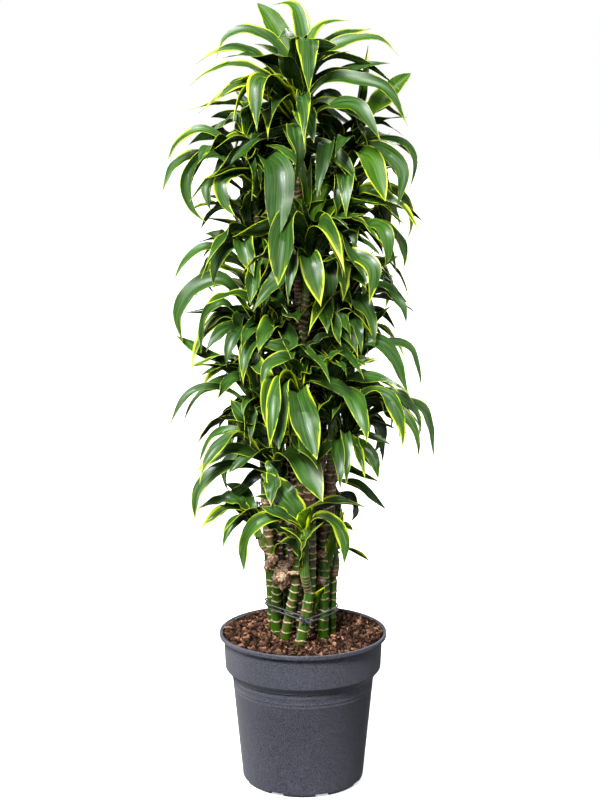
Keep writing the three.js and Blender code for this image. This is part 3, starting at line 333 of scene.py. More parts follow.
# Leaves that only the picture shows: the head, the azimuth of the base, the tone, the azimuth that the upper
# face looks to (None is the leaf's own), the place it springs from, and then the values of a drawn leaf.
FURTHER = (
    (
        "head_lowest_front", 300, 0.95, 270, (303, 540, -94), 30, (0, 0), None, (303, 524, -107),
        (311, 507, -122),
    ),
    (
        "head_lowest_front", 340, 0.96, None, (307, 540, -94), 18, (0, 25), None, (311, 524, -104),
        (314, 504, -113),
    ),
    (
        "head_lowest_front", 240, 0.6, None, (299, 574, -86), 24, (0, -30), None, (298, 552, -103),
        (294, 535, -111), (280, 527, -114),
    ),
    (
        "head_lowest_front", 300, 0.7, None, (301, 574, -86), 24, (0, 30), None, (305, 552, -103),
        (311, 534, -110), (324, 522, -112),
    ),
    (
        "head_lowest_right", 290, 0.93, 280, (314, 614, -40), 22, (0, 15), None, (316, 602, -50),
        (325, 587, -60),
    ),
    (
        "head_lowest_right", 330, 0.9, 285, (327, 575, -22), 26, (0, 10), None, (331, 552, -30),
        (338, 530, -38), (346, 507, -50),
    ),
    (
        "head_front_middle", 150, 0.62, None, (304, 226, -46), 30, (0, -60), None, (302, 196, -52),
        (296, 168, -60), (282, 150, -66), (265, 145, -68),
    ),
    (
        "head_front_middle", 10, 0.93, None, (308, 252, -52), 36, (0, 50), None, (318, 226, -52),
        (332, 206, -54), (346, 193, -52),
    ),
    (
        "head_top", 285, 0.55, None, (298, 138, -4), 30, (0, 0), None, (298, 122, -26), (300, 117, -42),
        (311, 136, -58),
    ),
    (
        "head_top", 235, 0.16, None, (297, 130, -2), 32, (0, -35), None, (290, 98, -20), (280, 80, -36),
        (271, 84, -48), (268, 104, -56),
    ),
)

# ------------------------------------------------------------------ lines and draws
def draws_from(seed):
    """Repeatable draws between -1 and 1, the same as the solids' own."""
    state = seed
    while True:
        state = state * 16807 % 2147483647
        yield state / 2147483647 * 2 - 1


def between(pair, share):
    return pair[0] + (pair[1] - pair[0]) * share


def unit(vector):
    return vector / np.linalg.norm(vector)


def smooth_line(points, steps=6):
    """A smooth line through points, with short steps in each span."""
    points = np.array(points, float)
    last = len(points) - 1
    line = []
    for i in range(last):
        a, b, c, d = (points[min(max(n, 0), last)] for n in (i - 1, i, i + 1, i + 2))
        for t in np.arange(steps) / steps:
            line.append(
                (a * (-t + 2 * t * t - t**3) + b * (2 - 5 * t * t + 3 * t**3)
                 + c * (t + 4 * t * t - 3 * t**3) + d * (-t * t + t**3)) / 2
            )
    line.append(points[last])
    return np.array(line)


def ways_of(line):
    """How far along a line each of its points is."""
    return np.concatenate(([0], np.cumsum(np.linalg.norm(np.diff(line, axis=0), axis=1))))


def along_line(line, ways):
    """The points at these ways along a line."""
    marks = ways_of(line)
    return np.stack([np.interp(ways, marks, line[:, k]) for k in range(3)], axis=-1)


def seen_at(across, down, depth):
    """The point at a depth that the camera sees at a pixel of the picture."""
    tilt = math.radians(CAMERA["down"])
    right = (across - PICTURE[0] / 2) / CAMERA["focal"]
    rise = (PICTURE[1] / 2 - down) / CAMERA["focal"]
    ahead = math.cos(tilt) + rise * math.sin(tilt)
    upward = rise * math.cos(tilt) - math.sin(tilt)
    place = CAMERA["place"]
    reach = (depth - place[1]) / ahead
    return np.array((place[0] + reach * right, depth, place[2] + reach * upward))


def cane_line(name):
    foot, _, way = CANES[name]
    straight = [(*foot, SOIL_LEVEL + height) for height in (-BURIED_DEPTH, *STRAIGHT_FOOT)]
    return smooth_line([*straight, *way])


CANE_LINES = {name: cane_line(name) for name in CANES}


# ------------------------------------------------------------------ meshes
def put(name, data, place=(0, 0, 0), turn=(0, 0, 0)):
    made = bpy.data.objects.new(name, data)
    made.location = place
    made.rotation_euler = turn
    bpy.context.scene.collection.objects.link(made)
    return made


def finish_piece(name, bm, replaced, materials, sharp=None):
    """Makes a piece of a bmesh: smooth shaded, riding on the one body, standing for the solids replaced."""
    for face in bm.faces:
        face.smooth = True
    mesh = bpy.data.meshes.new(name)
    bm.to_mesh(mesh)
    bm.free()
    if sharp:
        mesh.set_sharp_from_angle(angle=math.radians(sharp))
    for finish in materials:
        mesh.materials.append(finish)
    piece = put(name, mesh)
    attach(piece, "root")
    if replaced:
        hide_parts(*replaced)
    return piece


def tube(bm, line, ways, sides, radius_at, reference=(0, 1, 0), wobble=None):
    """A round stem along a line, from a grid rolled up: radius_at(way, angle) sizes it, in millimetres.
    Gives back its points as (vertex, way, angle), with the seam closed and both ends capped."""
    centres = along_line(line, ways)
    directions = np.gradient(centres, axis=0)
    directions /= np.linalg.norm(directions, axis=1)[:, None]
    rights = np.cross(np.array(reference, float), directions)
    rights /= np.linalg.norm(rights, axis=1)[:, None]
    fronts = np.cross(directions, rights)
    rows = len(ways) - 1
    grid = bmesh.ops.create_grid(bm, x_segments=sides, y_segments=rows, size=1)["verts"]
    marked = []
    for vert in grid:
        row = round((vert.co.y + 1) / 2 * rows)
        angle = (vert.co.x + 1) * math.pi
        radius = radius_at(ways[row], angle)
        out = rights[row] * math.cos(angle) + fronts[row] * math.sin(angle)
        shift = wobble(ways[row], angle) if wobble else 0
        vert.co = Vector((centres[row] + out * radius + directions[row] * shift) * MM)
        marked.append((vert, ways[row], angle))
    bmesh.ops.remove_doubles(bm, verts=grid, dist=1e-7)
    marked = [entry for entry in marked if entry[0].is_valid]
    ends = {edge for entry in marked for edge in entry[0].link_edges if edge.is_boundary}
    bmesh.ops.holes_fill(bm, edges=list(ends), sides=sides)
    return marked


# ------------------------------------------------------------------ shader nodes
def node(tree, kind, inputs=(), **settings):
    """A shader node: its settings, and its inputs as values or as the sockets that feed them."""
    made = tree.nodes.new("ShaderNode" + kind)
    for key, value in settings.items():
        setattr(made, key, value)
    for key, value in dict(inputs).items():
        socket = made.inputs[key]
        if isinstance(value, bpy.types.NodeSocket):
            tree.links.new(value, socket)
        else:
            socket.default_value = (*value, 1) if socket.type == "RGBA" else value
    return made


def mixed(tree, factor, first, second):
    return node(tree, "Mix", {0: factor, 6: first, 7: second}, data_type="RGBA").outputs[2]


def maths(tree, operation, *values):
    return node(tree, "Math", enumerate(values), operation=operation).outputs[0]


def ranged(tree, value, low, high, first=0.0, second=1.0):
    """A value's smooth way from low to high, as first to second."""
    inputs = {"Value": value, "From Min": low, "From Max": high, "To Min": first, "To Max": second}
    return node(tree, "MapRange", inputs, interpolation_type="SMOOTHSTEP").outputs[0]


def attribute(tree, name):
    return node(tree, "Attribute", attribute_name=name).outputs["Fac"]


def shaded(colour, factor):
    return tuple(value * factor for value in colour)


def group(name, inputs, output):
    """A shader node group with number inputs and one number output, and its two end nodes."""
    tree = bpy.data.node_groups.new(name, "ShaderNodeTree")
    for label in inputs:
        tree.interface.new_socket(label, in_out="INPUT", socket_type="NodeSocketFloat")
    tree.interface.new_socket(output, in_out="OUTPUT", socket_type="NodeSocketFloat")
    return tree, tree.nodes.new("NodeGroupInput"), tree.nodes.new("NodeGroupOutput")


def blotches_group():
    """Soft patches over the surface: a mask from a noise on the object's own coordinates."""
    tree, given, result = group("blotches", ("Scale", "Low", "High"), "Mask")
    place = node(tree, "TexCoord").outputs["Object"]
    patches = node(tree, "TexNoise", {"Vector": place, "Scale": given.outputs[0], "Detail": 4}).outputs[0]
    tree.links.new(ranged(tree, patches, given.outputs[1], given.outputs[2]), result.inputs[0])
    return tree


def streaks_group():
    """Fine streaks along a leaf or a stem, from how far across and along it a point is, in metres."""
    inputs = ("Across", "Along", "Shift", "Frequency", "Stretch")
    tree, given, result = group("streaks", inputs, "Streaks")
    across, along, shift, frequency, stretch = given.outputs[:5]
    vector = node(tree, "CombineXYZ", {
        0: maths(tree, "MULTIPLY", across, frequency),
        1: maths(tree, "MULTIPLY", along, stretch),
        2: maths(tree, "MULTIPLY", shift, 37.0),
    }).outputs[0]
    streaks = node(tree, "TexNoise", {"Vector": vector, "Scale": 1, "Detail": 3}).outputs[0]
    tree.links.new(streaks, result.inputs[0])
    return tree


def use(tree, shared, **inputs):
    return node(tree, "Group", inputs, node_tree=shared).outputs[0]


def material(name, roughness):
    made = bpy.data.materials.new(name)
    made.use_nodes = True
    shader = made.node_tree.nodes["Principled BSDF"]
    shader.inputs["Roughness"].default_value = roughness
    return made, made.node_tree, shader


def feed(tree, shader, **sockets):
    """Links sockets to the shader's inputs, with spaces for the names' underlines."""
    for key, value in sockets.items():
        tree.links.new(value, shader.inputs[key.replace("_", " ")])


def bumped(tree, height, distance):
    return node(tree, "Bump", {"Height": height, "Distance": distance}).outputs[0]


BLOTCHES = blotches_group()
STREAKS = streaks_group()


# ------------------------------------------------------------------ materials
# Colours as plain red, green and blue; a pair goes from dark to bright.
LEAF_GREENS = ((0.002, 0.008, 0.0004), (0.0138, 0.046, 0.0008))
UNDER_GREENS = ((0.012, 0.038, 0.005), (0.04, 0.11, 0.01))
LIME = (0.68, 0.78, 0.005)
UNDER_LIME = (0.5, 0.62, 0.02)
YOUNG_GREEN = (0.044, 0.1, 0.002)
BASE_GREEN = (0.075, 0.155, 0.018)
# painted shade: the dull green that a lime margin turns on the dark leaves
SHADED_RIM = (0.16, 0.26, 0.03)
DRY_TIP = (0.32, 0.2, 0.09)
SHOOT_GREENS = ((0.012, 0.042, 0.002), (0.12, 0.23, 0.03))
SHOOT_RUST = (0.17, 0.075, 0.045)
SHOOT_SCAR = (0.5, 0.32, 0.2)
CANE_GREENS = ((0.002, 0.014, 0.0002), (0.045, 0.13, 0.0012))
SCAR_TANS = ((0.3, 0.17, 0.085), (0.86, 0.66, 0.43))
CANE_BARK = ((0.03, 0.013, 0.008), (0.2, 0.095, 0.055))
# partly painted shade: dead bark, darkened further for the stems inside the bundle
OLD_BARK_IN_SHADE = ((0.006, 0.003, 0.002), (0.05, 0.026, 0.016))
# partly painted shade: the peat's own dark brown, darkened further so the bed between the chips reads as
# shade
PEAT_AND_SHADE_BROWNS = ((0.003, 0.0015, 0.0008), (0.02, 0.009, 0.005))
BARK_BROWNS = ((0.003, 0.0012, 0.0006), (0.6, 0.3, 0.18))
POT_GREYS = ((0.006, 0.006, 0.01), (0.078, 0.078, 0.105))
POT_MARKS = (0.066, 0.068, 0.09)
WIRE_GREYS = ((0.02, 0.022, 0.027), (0.11, 0.115, 0.13))
FLOOR_WHITES = ((0.93, 0.93, 0.93), (0.95, 0.95, 0.95))
TONE_SPREAD = 37.3  # turns a leaf's tone into a share that looks drawn at random
LIME_REACH = (0.0011, 0.0021)  # metres in from the edge where a lime margin ends
FAINT_REACH = (0.0024, 0.006)  # and where the faint lime streaks beside it end


def lime_breadth(tree, tone, along, sides):
    """How broad a margin is: by leaf, by place along either edge, narrow at the base, and narrow on dark
    leaves as painted shade.
    """
    share = maths(tree, "FRACT", maths(tree, "MULTIPLY", tone, TONE_SPREAD))
    breadth = ranged(tree, share, 0.0, 1.0, 0.12, 1.35)
    breadth = maths(tree, "MULTIPLY", breadth, ranged(tree, sides, 0.36, 0.64, 0.0, 1.9))
    # painted shade: the margins of the darkest leaves narrow away
    breadth = maths(tree, "MULTIPLY", breadth, ranged(tree, tone, 0.02, 0.3, 0.12, 1.0))
    return maths(tree, "ADD", maths(tree, "MULTIPLY", breadth, ranged(tree, along, 0.1, 0.28)), 0.02)


def leaf_material(name, dark, bright, margin, roughness, vein_depth):
    """A blade's face: deep green with fine paler streaks, painted highlight on its broad pleats and painted
    shade between them, and a lime margin that thins and thickens, dulled and narrowed on dark leaves as
    painted shade.
    """
    made, tree, shader = material(name, roughness)
    shader.inputs["Subsurface Weight"].default_value = 0.12
    shader.inputs["Subsurface Radius"].default_value = (0.6, 1.0, 0.15)
    shader.inputs["Subsurface Scale"].default_value = 0.0012
    gap, along = attribute(tree, "edge_gap"), attribute(tree, "along")
    across, tone = attribute(tree, "across"), attribute(tree, "tone")
    place = {"Across": across, "Along": along, "Shift": tone}
    fine = use(tree, STREAKS, **place, Frequency=1500.0, Stretch=3.0)
    broad = use(tree, STREAKS, **place, Frequency=430.0, Stretch=2.5)
    sides = use(tree, STREAKS, **place, Frequency=70.0, Stretch=4.0)
    green = mixed(tree, tone, dark, bright)
    green = mixed(tree, ranged(tree, tone, 0.75, 1.0), green, YOUNG_GREEN)
    green = mixed(tree, ranged(tree, fine, 0.42, 0.72, 0.0, 0.45), green, shaded(bright, 2.2))
    # painted highlight on the ridges of the broad pleats and painted shade in their grooves; the same noise
    # raises them in the bump
    green = mixed(tree, ranged(tree, broad, 0.5, 0.66, 0.0, 0.42), green, shaded(bright, 2.0))
    green = mixed(tree, ranged(tree, broad, 0.36, 0.48, 0.6, 0.0), green, dark)
    green = mixed(tree, ranged(tree, along, 0.03, 0.24, 0.8, 0.0), green, BASE_GREEN)
    wobble = maths(tree, "MULTIPLY_ADD", broad, 0.0034, -0.0016)
    edge = maths(tree, "MAXIMUM", maths(tree, "ADD", gap, wobble), 0.0)
    edge = maths(tree, "DIVIDE", edge, lime_breadth(tree, tone, along, sides))
    faint = ranged(tree, edge, *FAINT_REACH, 0.5, 0.0)
    stripe = maths(tree, "MULTIPLY", faint, ranged(tree, fine, 0.45, 0.65))
    green = mixed(tree, stripe, green, shaded(margin, 0.6))
    # painted shade: on dark leaves the lime margin dulls towards a shaded green
    rim = mixed(tree, ranged(tree, tone, 0.0, 0.4, 0.55, 0.0), margin, SHADED_RIM)
    colour = mixed(tree, ranged(tree, edge, *LIME_REACH, 1.0, 0.0), green, rim)
    dry = maths(tree, "MULTIPLY", ranged(tree, along, 0.965, 0.995), ranged(tree, tone, 0.1, 0.45, 1.0, 0.0))
    feed(
        tree, shader,
        Base_Color=mixed(tree, dry, colour, DRY_TIP),
        Roughness=ranged(tree, broad, 0.3, 0.7, roughness - 0.08, roughness + 0.12),
        Specular_IOR_Level=ranged(tree, tone, 0.6, 1.0, 0.45, 0.15),
        Normal=bumped(tree, maths(tree, "MULTIPLY_ADD", broad, 2.0, fine), vein_depth),
    )
    return made


def shoot_material():
    """A young green stem wrapped in leaf bases, with pale scars and rusty bark towards its foot."""
    made, tree, shader = material("young_shoot", 0.5)
    across, along, scar = attribute(tree, "across"), attribute(tree, "along"), attribute(tree, "scar")
    streaks = use(tree, STREAKS, Across=across, Along=along, Frequency=1400.0, Stretch=12.0)
    stripes = ranged(tree, streaks, 0.38, 0.66)
    green = mixed(tree, stripes, *SHOOT_GREENS)
    patches = use(tree, BLOTCHES, Scale=90.0, Low=0.35, High=0.6)
    rust = maths(tree, "MULTIPLY", patches, attribute(tree, "woody"))
    green = mixed(tree, rust, green, SHOOT_RUST)
    feed(
        tree, shader,
        Base_Color=mixed(tree, scar, green, SHOOT_SCAR),
        Normal=bumped(tree, streaks, 0.0001),
    )
    return made


def cane_material(name, browns):
    """An old cane: fresh green between tan leaf scars, with brown corky patches higher up."""
    made, tree, shader = material(name, 0.48)
    shader.inputs["Specular IOR Level"].default_value = 0.3
    across, along, scar = attribute(tree, "across"), attribute(tree, "along"), attribute(tree, "scar")
    streaks = use(tree, STREAKS, Across=across, Along=along, Frequency=1100.0, Stretch=25.0)
    patches = use(tree, BLOTCHES, Scale=45.0, Low=0.42, High=0.58)
    green = mixed(tree, streaks, *CANE_GREENS)
    woody = attribute(tree, "woody")
    cork = maths(tree, "MULTIPLY", patches, ranged(tree, woody, 0.0, 0.7))
    bark = mixed(tree, streaks, *browns)
    skin = mixed(tree, cork, green, bark)
    skin = mixed(tree, ranged(tree, woody, 0.8, 1.0), skin, bark)
    grain = use(tree, BLOTCHES, Scale=260.0, Low=0.3, High=0.7)
    tan = mixed(tree, grain, *SCAR_TANS)
    height = maths(tree, "ADD", streaks, maths(tree, "MULTIPLY", grain, 0.5))
    feed(
        tree, shader,
        Base_Color=mixed(tree, scar, skin, tan),
        Roughness=ranged(tree, scar, 0.0, 1.0, 0.3, 0.8),
        Normal=bumped(tree, height, 0.0002),
    )
    return made


def soil_material(name, dark, pale):
    """Damp peat and bark: browns from crumb to crumb, with painted shade darkest in the pits of the bump."""
    made, tree, shader = material(name, 0.85)
    crumbs = use(tree, BLOTCHES, Scale=420.0, Low=0.35, High=0.65)
    patches = use(tree, BLOTCHES, Scale=90.0, Low=0.35, High=0.65)
    shader.inputs["Specular IOR Level"].default_value = 0.06
    mix = maths(tree, "MULTIPLY_ADD", attribute(tree, "tone"), 0.9, maths(tree, "MULTIPLY", patches, 0.1))
    brown = mixed(tree, mix, dark, pale)
    # painted shade: darker where the crumbs' bump sinks
    shade = mixed(tree, ranged(tree, crumbs, 0.0, 1.0, 0.5, 0.0), brown, shaded(dark, 0.5))
    feed(tree, shader, Base_Color=shade, Normal=bumped(tree, crumbs, 0.001))
    return made


def pot_material():
    """Moulded grey plastic: fine specks in colour, gloss and grain, and a soft cloud of handling marks."""
    made, tree, shader = material("pot_plastic", 0.45)
    specks = use(tree, BLOTCHES, Scale=520.0, Low=0.3, High=0.7)
    cloud = use(tree, BLOTCHES, Scale=9.0, Low=0.25, High=0.75)
    shader.inputs["Sheen Weight"].default_value = 0.1
    grain = use(tree, BLOTCHES, Scale=1100.0, Low=0.35, High=0.65)
    grey = mixed(tree, specks, *POT_GREYS)
    grey = mixed(tree, maths(tree, "MULTIPLY", cloud, 0.25), grey, POT_MARKS)
    feed(
        tree, shader,
        Base_Color=grey,
        Roughness=ranged(tree, specks, 0.0, 1.0, 0.36, 0.5),
        Normal=bumped(tree, grain, 0.00012),
    )
    return made


def wire_material():
    """Dark coated garden wire, worn paler in patches."""
    made, tree, shader = material("coated_wire", 0.4)
    wear = use(tree, BLOTCHES, Scale=500.0, Low=0.45, High=0.7)
    feed(
        tree, shader,
        Base_Color=mixed(tree, wear, *WIRE_GREYS),
        Roughness=ranged(tree, wear, 0.0, 1.0, 0.35, 0.6),
    )
    return made


# ------------------------------------------------------------------ canes
CANE_SIDES = 16
CANE_SPACING = (18, 9)  # between leaf scars, near the foot and from RING_REACH up
OLD_SPACING = (14, 9)
BARE_HEIGHT = (120, 70, 150)  # how far above the soil the canes turn corky, in turn
BARE_REACH = 110  # and the height within which they do
RING_OFFSETS = (-4.5, -2.4, -1.3, -0.5, 0.3, 1.1, 2.2)  # the rows of points about a leaf scar
RING_BREADTHS = (1, 1.7)  # how broad a scar is at the foot, and from RING_REACH up
RING_REACH = 500
RING_SLOPES = (1.35, 0.7)  # how softly it rises below its ridge, and above
# Burls and cut stubs: the cane, the place in the picture with its depth, the radii, and how pale it is.
KNOBS = (
    ("cane_left_front", (282, 577, -38), (18, 13, 23), 0.12),
    ("cane_left_front", (281, 577, -52), (9.5, 4, 10), 0.8),
    ("cane_left_front", (285, 565, -34), (13, 10, 9), 0.25),
    ("cane_left_front", (273, 560, -22), (11, 9, 13), 0.25),
    ("cane_left_front", (268, 566, -12), (8, 8, 12), 0.15),
    ("cane_tall_middle", (294, 573, -48), (13, 5, 4), 0.6),
    ("cane_tall_middle", (292, 558, -42), (5.5, 4.5, 14), 0.15),
    ("cane_front", (305, 568, -70), (9, 7, 5), 0.3),
    ("cane_right", (321, 581, -30), (10, 7, 8), 0.15),
    ("cane_right", (321, 554, -28), (11, 8, 7), 0.2),
    ("cane_right", (322, 462, -26), (7, 6, 26), 0.05),
    ("cane_right", (338, 475, -24), (7, 5, 6), 0.25),
    ("cane_left", (264, 520, 18), (7, 6, 10), 0.15),
)
# Old bare stems inside the bundle: foot, top and radius.
OLD_STEMS = (
    ((-20, 12), (-30, 4, 980), 7.5), ((24, 22), (26, 14, 980), 8), ((18, -14), (16, -14, 940), 5.5),
    ((-8, -20), (-28, -12, 900), 6), ((-42, 20), (-52, 14, 960), 6), ((32, 6), (42, 8, 960), 6),
    ((-52, 17.5), (-62, 10, 900), 4.5),
)


def ring_ways(total, start, seed, spacing):
    """Where the leaf scars are, closer together towards the top."""
    dice = random.Random(seed)
    rings, way = [], start
    while way < total - 4:
        rings.append(way)
        way += between(spacing, min(1, (way - start) / RING_REACH)) * dice.uniform(0.75, 1.25)
    return np.array(rings)


def ring_rows(rings, total):
    """The rows of points for a ringed stem: close about each ring, with one between two rings."""
    rows = {0.0, total}
    for ring in rings:
        rows.update(ring + offset for offset in RING_OFFSETS)
    rows = sorted(row for row in rows if 0 <= row <= total)
    kept = [rows[0]]
    for row in rows[1:]:
        if row - kept[-1] > 0.45:
            kept.append(row)
    return np.array(kept)


def ring_profile(way, rings):
    """How far a leaf scar stands out at a way along the stem, from 0 to 1, sharper above than below."""
    if not len(rings):
        return 0
    gap = way - rings[np.argmin(np.abs(rings - way))]
    breadth = between(RING_BREADTHS, min(1, way / RING_REACH))
    return math.exp(-((gap / breadth / RING_SLOPES[gap >= 0]) ** 2))


def ringed_stem(bm, line, radius, rings, seed, sides, rise, woody_at, layers):
    """A stem with raised, slightly wavy leaf scars along its length."""
    total = ways_of(line)[-1]
    ways = ring_rows(rings, total)
    offset = seed * 7.3

    def radius_at(way, angle):
        lump = noise.noise(Vector((math.cos(angle), math.sin(angle), way / 22 + offset)))
        end = min(1, (total - way) / 3 + 0.35)
        return (between(radius, way / total) + rise * ring_profile(way, rings) + 0.45 * lump) * end

    def wobble(way, angle):
        return 3.6 * noise.noise(Vector((math.cos(angle) * 0.9, math.sin(angle) * 0.9, way / 30 + offset)))

    for vert, way, angle in tube(bm, line, ways, sides, radius_at, wobble=wobble):
        patch = noise.noise(Vector((math.cos(angle) * 0.7 + offset, math.sin(angle) * 0.7, way / 40)))
        vert[layers["scar"]] = ring_profile(way, rings) ** 1.6 * min(1, max(0, 0.85 + patch))
        vert[layers["along"]] = way * MM
        vert[layers["across"]] = math.cos(angle) * radius[0] * MM
        vert[layers["woody"]] = min(1, max(0, woody_at(way) + patch * 0.8))


def layers_of(bm, *names):
    """Layers of numbers on the points: those of a stem, and more."""
    return {name: bm.verts.layers.float.new(name) for name in ("scar", "woody", "along", "across", *names)}


def knob(bm, layers, centre, radii, pale):
    """A knobby lump of healed bark: where a cane was cut, or where a shoot took over from it."""
    for vert in bmesh.ops.create_icosphere(bm, subdivisions=4 if max(radii) > 9 else 3, radius=1)["verts"]:
        place = vert.co + Vector(centre) * 0.31
        swell = 0.9 + 0.36 * noise.noise(place * 2.3) + 0.16 * noise.noise(place * 6)
        point = Vector([v * radius * swell for v, radius in zip(vert.co, radii)])
        vert[layers["woody"]] = 1
        vert[layers["scar"]] = min(1, max(0, noise.noise(place * 3.1) * 0.9 + pale))
        vert[layers["along"]] = point.z * MM
        vert[layers["across"]] = point.x * MM
        vert.co = (point + Vector(centre)) * MM


def make_canes():
    bark = cane_material("ringed_cane", CANE_BARK)
    for number, (name, (_, radius, _)) in enumerate(CANES.items()):
        bm = bmesh.new()
        layers = layers_of(bm)
        line = CANE_LINES[name]
        rings = ring_ways(ways_of(line)[-1], BURIED_DEPTH - 4 + number % 3 * 4, number + 11, CANE_SPACING)
        bare = BURIED_DEPTH + BARE_HEIGHT[number % 3]

        def woody_at(way):
            return 0.05 + 0.8 * min(1, max(0, (way - bare) / BARE_REACH))

        ringed_stem(bm, line, radius, rings, number + 1, CANE_SIDES, 1.15, woody_at, layers)
        for cane, place, radii, pale in KNOBS:
            if cane == name:
                knob(bm, layers, seen_at(*place), radii, pale)
        finish_piece(name + "_ringed", bm, (name,), (bark,), sharp=50)


def make_old_stems():
    bm = bmesh.new()
    layers = layers_of(bm)
    for number, (foot, top, radius) in enumerate(OLD_STEMS, 31):
        line = smooth_line([(*foot, SOIL_LEVEL - 20), (*foot, SOIL_LEVEL + 60), top])
        rings = ring_ways(ways_of(line)[-1], 30, number, OLD_SPACING)
        ringed_stem(bm, line, (radius, radius), rings, number, 10, 0.6, lambda way: 1.8, layers)
    # partly painted shade: the old stems' bark is darker than the canes' own, for the shaded inside of the
    # bundle
    dead = cane_material("old_bark_in_shade", OLD_BARK_IN_SHADE)
    finish_piece("old_stems", bm, (), (dead,), sharp=50)


# ------------------------------------------------------------------ heads of leaves
TIP_MATCH = 0.05  # how near a leaf's tip is to a corner of the solid that has the leaf
INNER_SHARE = 1.3  # inner leaves in a head, as a share of those that the solid may have
CENTRE_SHARE = 0.45  # the same for the heads in the centre, where the canes show
SPEARS = 4  # young leaves that stand in a crown
BARE_HEADS = ("head_lowest_front", "head_lowest_left", "head_lowest_right")  # young heads with few leaves
SHEATHED = {"head_lowest_front": (6.5, 12), "head_lowest_left": (6, 7.5)}  # shoots thick with leaf bases
TONES = {  # how pale some leaves are, by head and place in its list; the others draw theirs
    "head_top": {
        0: 0.97, 1: 0.5, 2: 0.316, 3: 0.8, 5: 0.6, 6: 0.55, 8: 0.5, 9: 0.4, 11: 0.32, 12: 0.22, 13: 0.12,
    },
    "head_right_top": {0: 0.95, 1: 0.85, 3: 0.35, 4: 0.9},
    "head_front_middle": {0: 1.0, 1: 0.7, 2: 0.6, 3: 0.24, 4: 0.31, 5: 0.29},
    "head_left_top": {2: 0.45, 3: 0.3, 4: 0.55, 7: 0.06},
    "head_left_back_top": {0: 0.13},
    "head_left_lower_middle": {0: 0.3, 1: 0.08, 2: 0.1}, "head_right_outer": {1: 0.1, 2: 0.08},
    "head_left_lower": {0: 0.33, 1: 0.6, 4: 0.47}, "head_right_lower": {0: 0.9, 1: 0.35, 5: 0.7},
    "head_left_outer": {0: 0.78}, "head_lowest_front": {0: 0.45, 1: 0.42, 2: 0.32, 5: 0.2},
    "head_centre_left": {0: 0.8}, "head_centre_lower": {0: 0.55, 1: 0.28, 2: 0.34},
    "head_centre_right": {0: 0.85},
}
CANE_CLEAR = 12.5  # the least way from an inner leaf's midrib to the middle of any cane
CANE_POINTS = np.concatenate(
    [along_line(line, np.arange(60, ways_of(line)[-1], 9)) for line in CANE_LINES.values()]
)
BLADE_ROWS = 32
BLADE_COLUMNS = 4
BLADE_THICKNESS = 0.7
BASE_SHARE = 0.42  # the width of a leaf's clasping base, as a share of its full width
WRAP_SHARE = 0.17  # the stretch of a leaf that wraps its shoot
WRAP_TURN = 95  # degrees that it wraps to each side
WRAP_GAP = 0.9  # between a shoot's skin and the leaf that wraps it
WRAP_FLARE = 5  # how much further off a leaf is where the wrap ends
SHEATHED_FLARE = 1.5  # the same on a shoot thick with leaf bases
BASE_FOLD = 60  # degrees that the halves of a blade are folded up at its base
PINCH_SHARE = 0.8  # how much sharper the fold is at the pinch, and over which share of the length
PINCH_SPAN = 0.12


def width_share(t, point):
    """The share of a blade's full width at a share of its length: a higher point gives a finer tip."""
    peak = 1.6 / (1.6 + point)
    return 0.1 * (1 - t) ** 6 + (t / peak) ** 1.6 * ((1 - t) / (1 - peak)) ** point


def rolled(level, above, degrees):
    """The ways across a blade and up from its upper face, rolled about its midrib."""
    roll = np.radians(degrees)[:, None]
    return level * np.cos(roll) + above * np.sin(roll), above * np.cos(roll) - level * np.sin(roll)


def midrib(leaf, course=None, sway=0, curl=0, roll_wave=0):
    """A leaf's midrib: its points, and the ways across the blade and up from its upper face. The course is
    how much of its bend is done at each point; sway, curl and roll_wave are degrees of weaving, of a turning
    tip and of rocking from side to side."""
    t = SHARES
    course = t**BEND_POWER if course is None else course
    sheath = np.maximum(0, 1 - t / SHEATH_SHARE) ** 2
    rise = np.radians(leaf["rise"] - leaf["bend"] * course + (SHEATH_RISE - leaf["rise"]) * sheath)
    azimuth = np.radians(leaf["azimuth"] + leaf["drift"] * t * t + sway * np.sin(math.tau * 1.1 * t) * t)
    ahead = np.stack((np.cos(rise) * np.cos(azimuth), np.cos(rise) * np.sin(azimuth), np.sin(rise)), axis=1)
    level = np.stack((-np.sin(azimuth), np.cos(azimuth), np.zeros_like(t)), axis=1)
    above = np.cross(ahead, level)
    rocking = roll_wave * np.sin(math.tau * 1.6 * t) * np.sin(math.pi * t)
    side, up = rolled(level, above, leaf["twist"] * t * (2 - t) + curl * t**3 + rocking)
    turn = math.radians(leaf["azimuth"])
    start = np.array(leaf["root"]) + ROOT_OUT * np.array((math.cos(turn), math.sin(turn), 0))
    steps = np.concatenate((np.zeros((1, 3)), np.cumsum(ahead[:-1], axis=0))) * leaf["length"] / MIDRIB_STEPS
    return start + steps, side, up


def own_midrib(leaf, dice):
    """A midrib from the solid's root to its tip with bends of its own: a knee, a sway, a turned tip."""
    plain = midrib(leaf)
    knee, soft, share = dice.uniform(0.14, 0.45), dice.uniform(0.08, 0.34), dice.uniform(0.3, 0.95)
    sway, curl, rocking = dice.uniform(-24, 24), dice.gauss(0, 45), dice.gauss(0, 22)
    goal = plain[0][-1] - plain[0][0]
    for ease in (1, 0.6, 0.3):
        bent = np.clip((SHARES - knee) / soft, 0, 1)
        course = ease * share * bent * bent * (3 - 2 * bent) + (1 - ease * share) * SHARES**BEND_POWER
        points, sides, ups = midrib(leaf, course, sway * ease, curl * ease, rocking * ease)
        reach = points[-1] - points[0]
        scale = np.linalg.norm(goal) / np.linalg.norm(reach)
        if 0.8 < scale < 1.25:
            spin = np.array(Vector(reach).rotation_difference(Vector(goal)).to_matrix()).T
            return plain[0][0] + (points - points[0]) @ spin * scale, sides @ spin, ups @ spin
    return plain


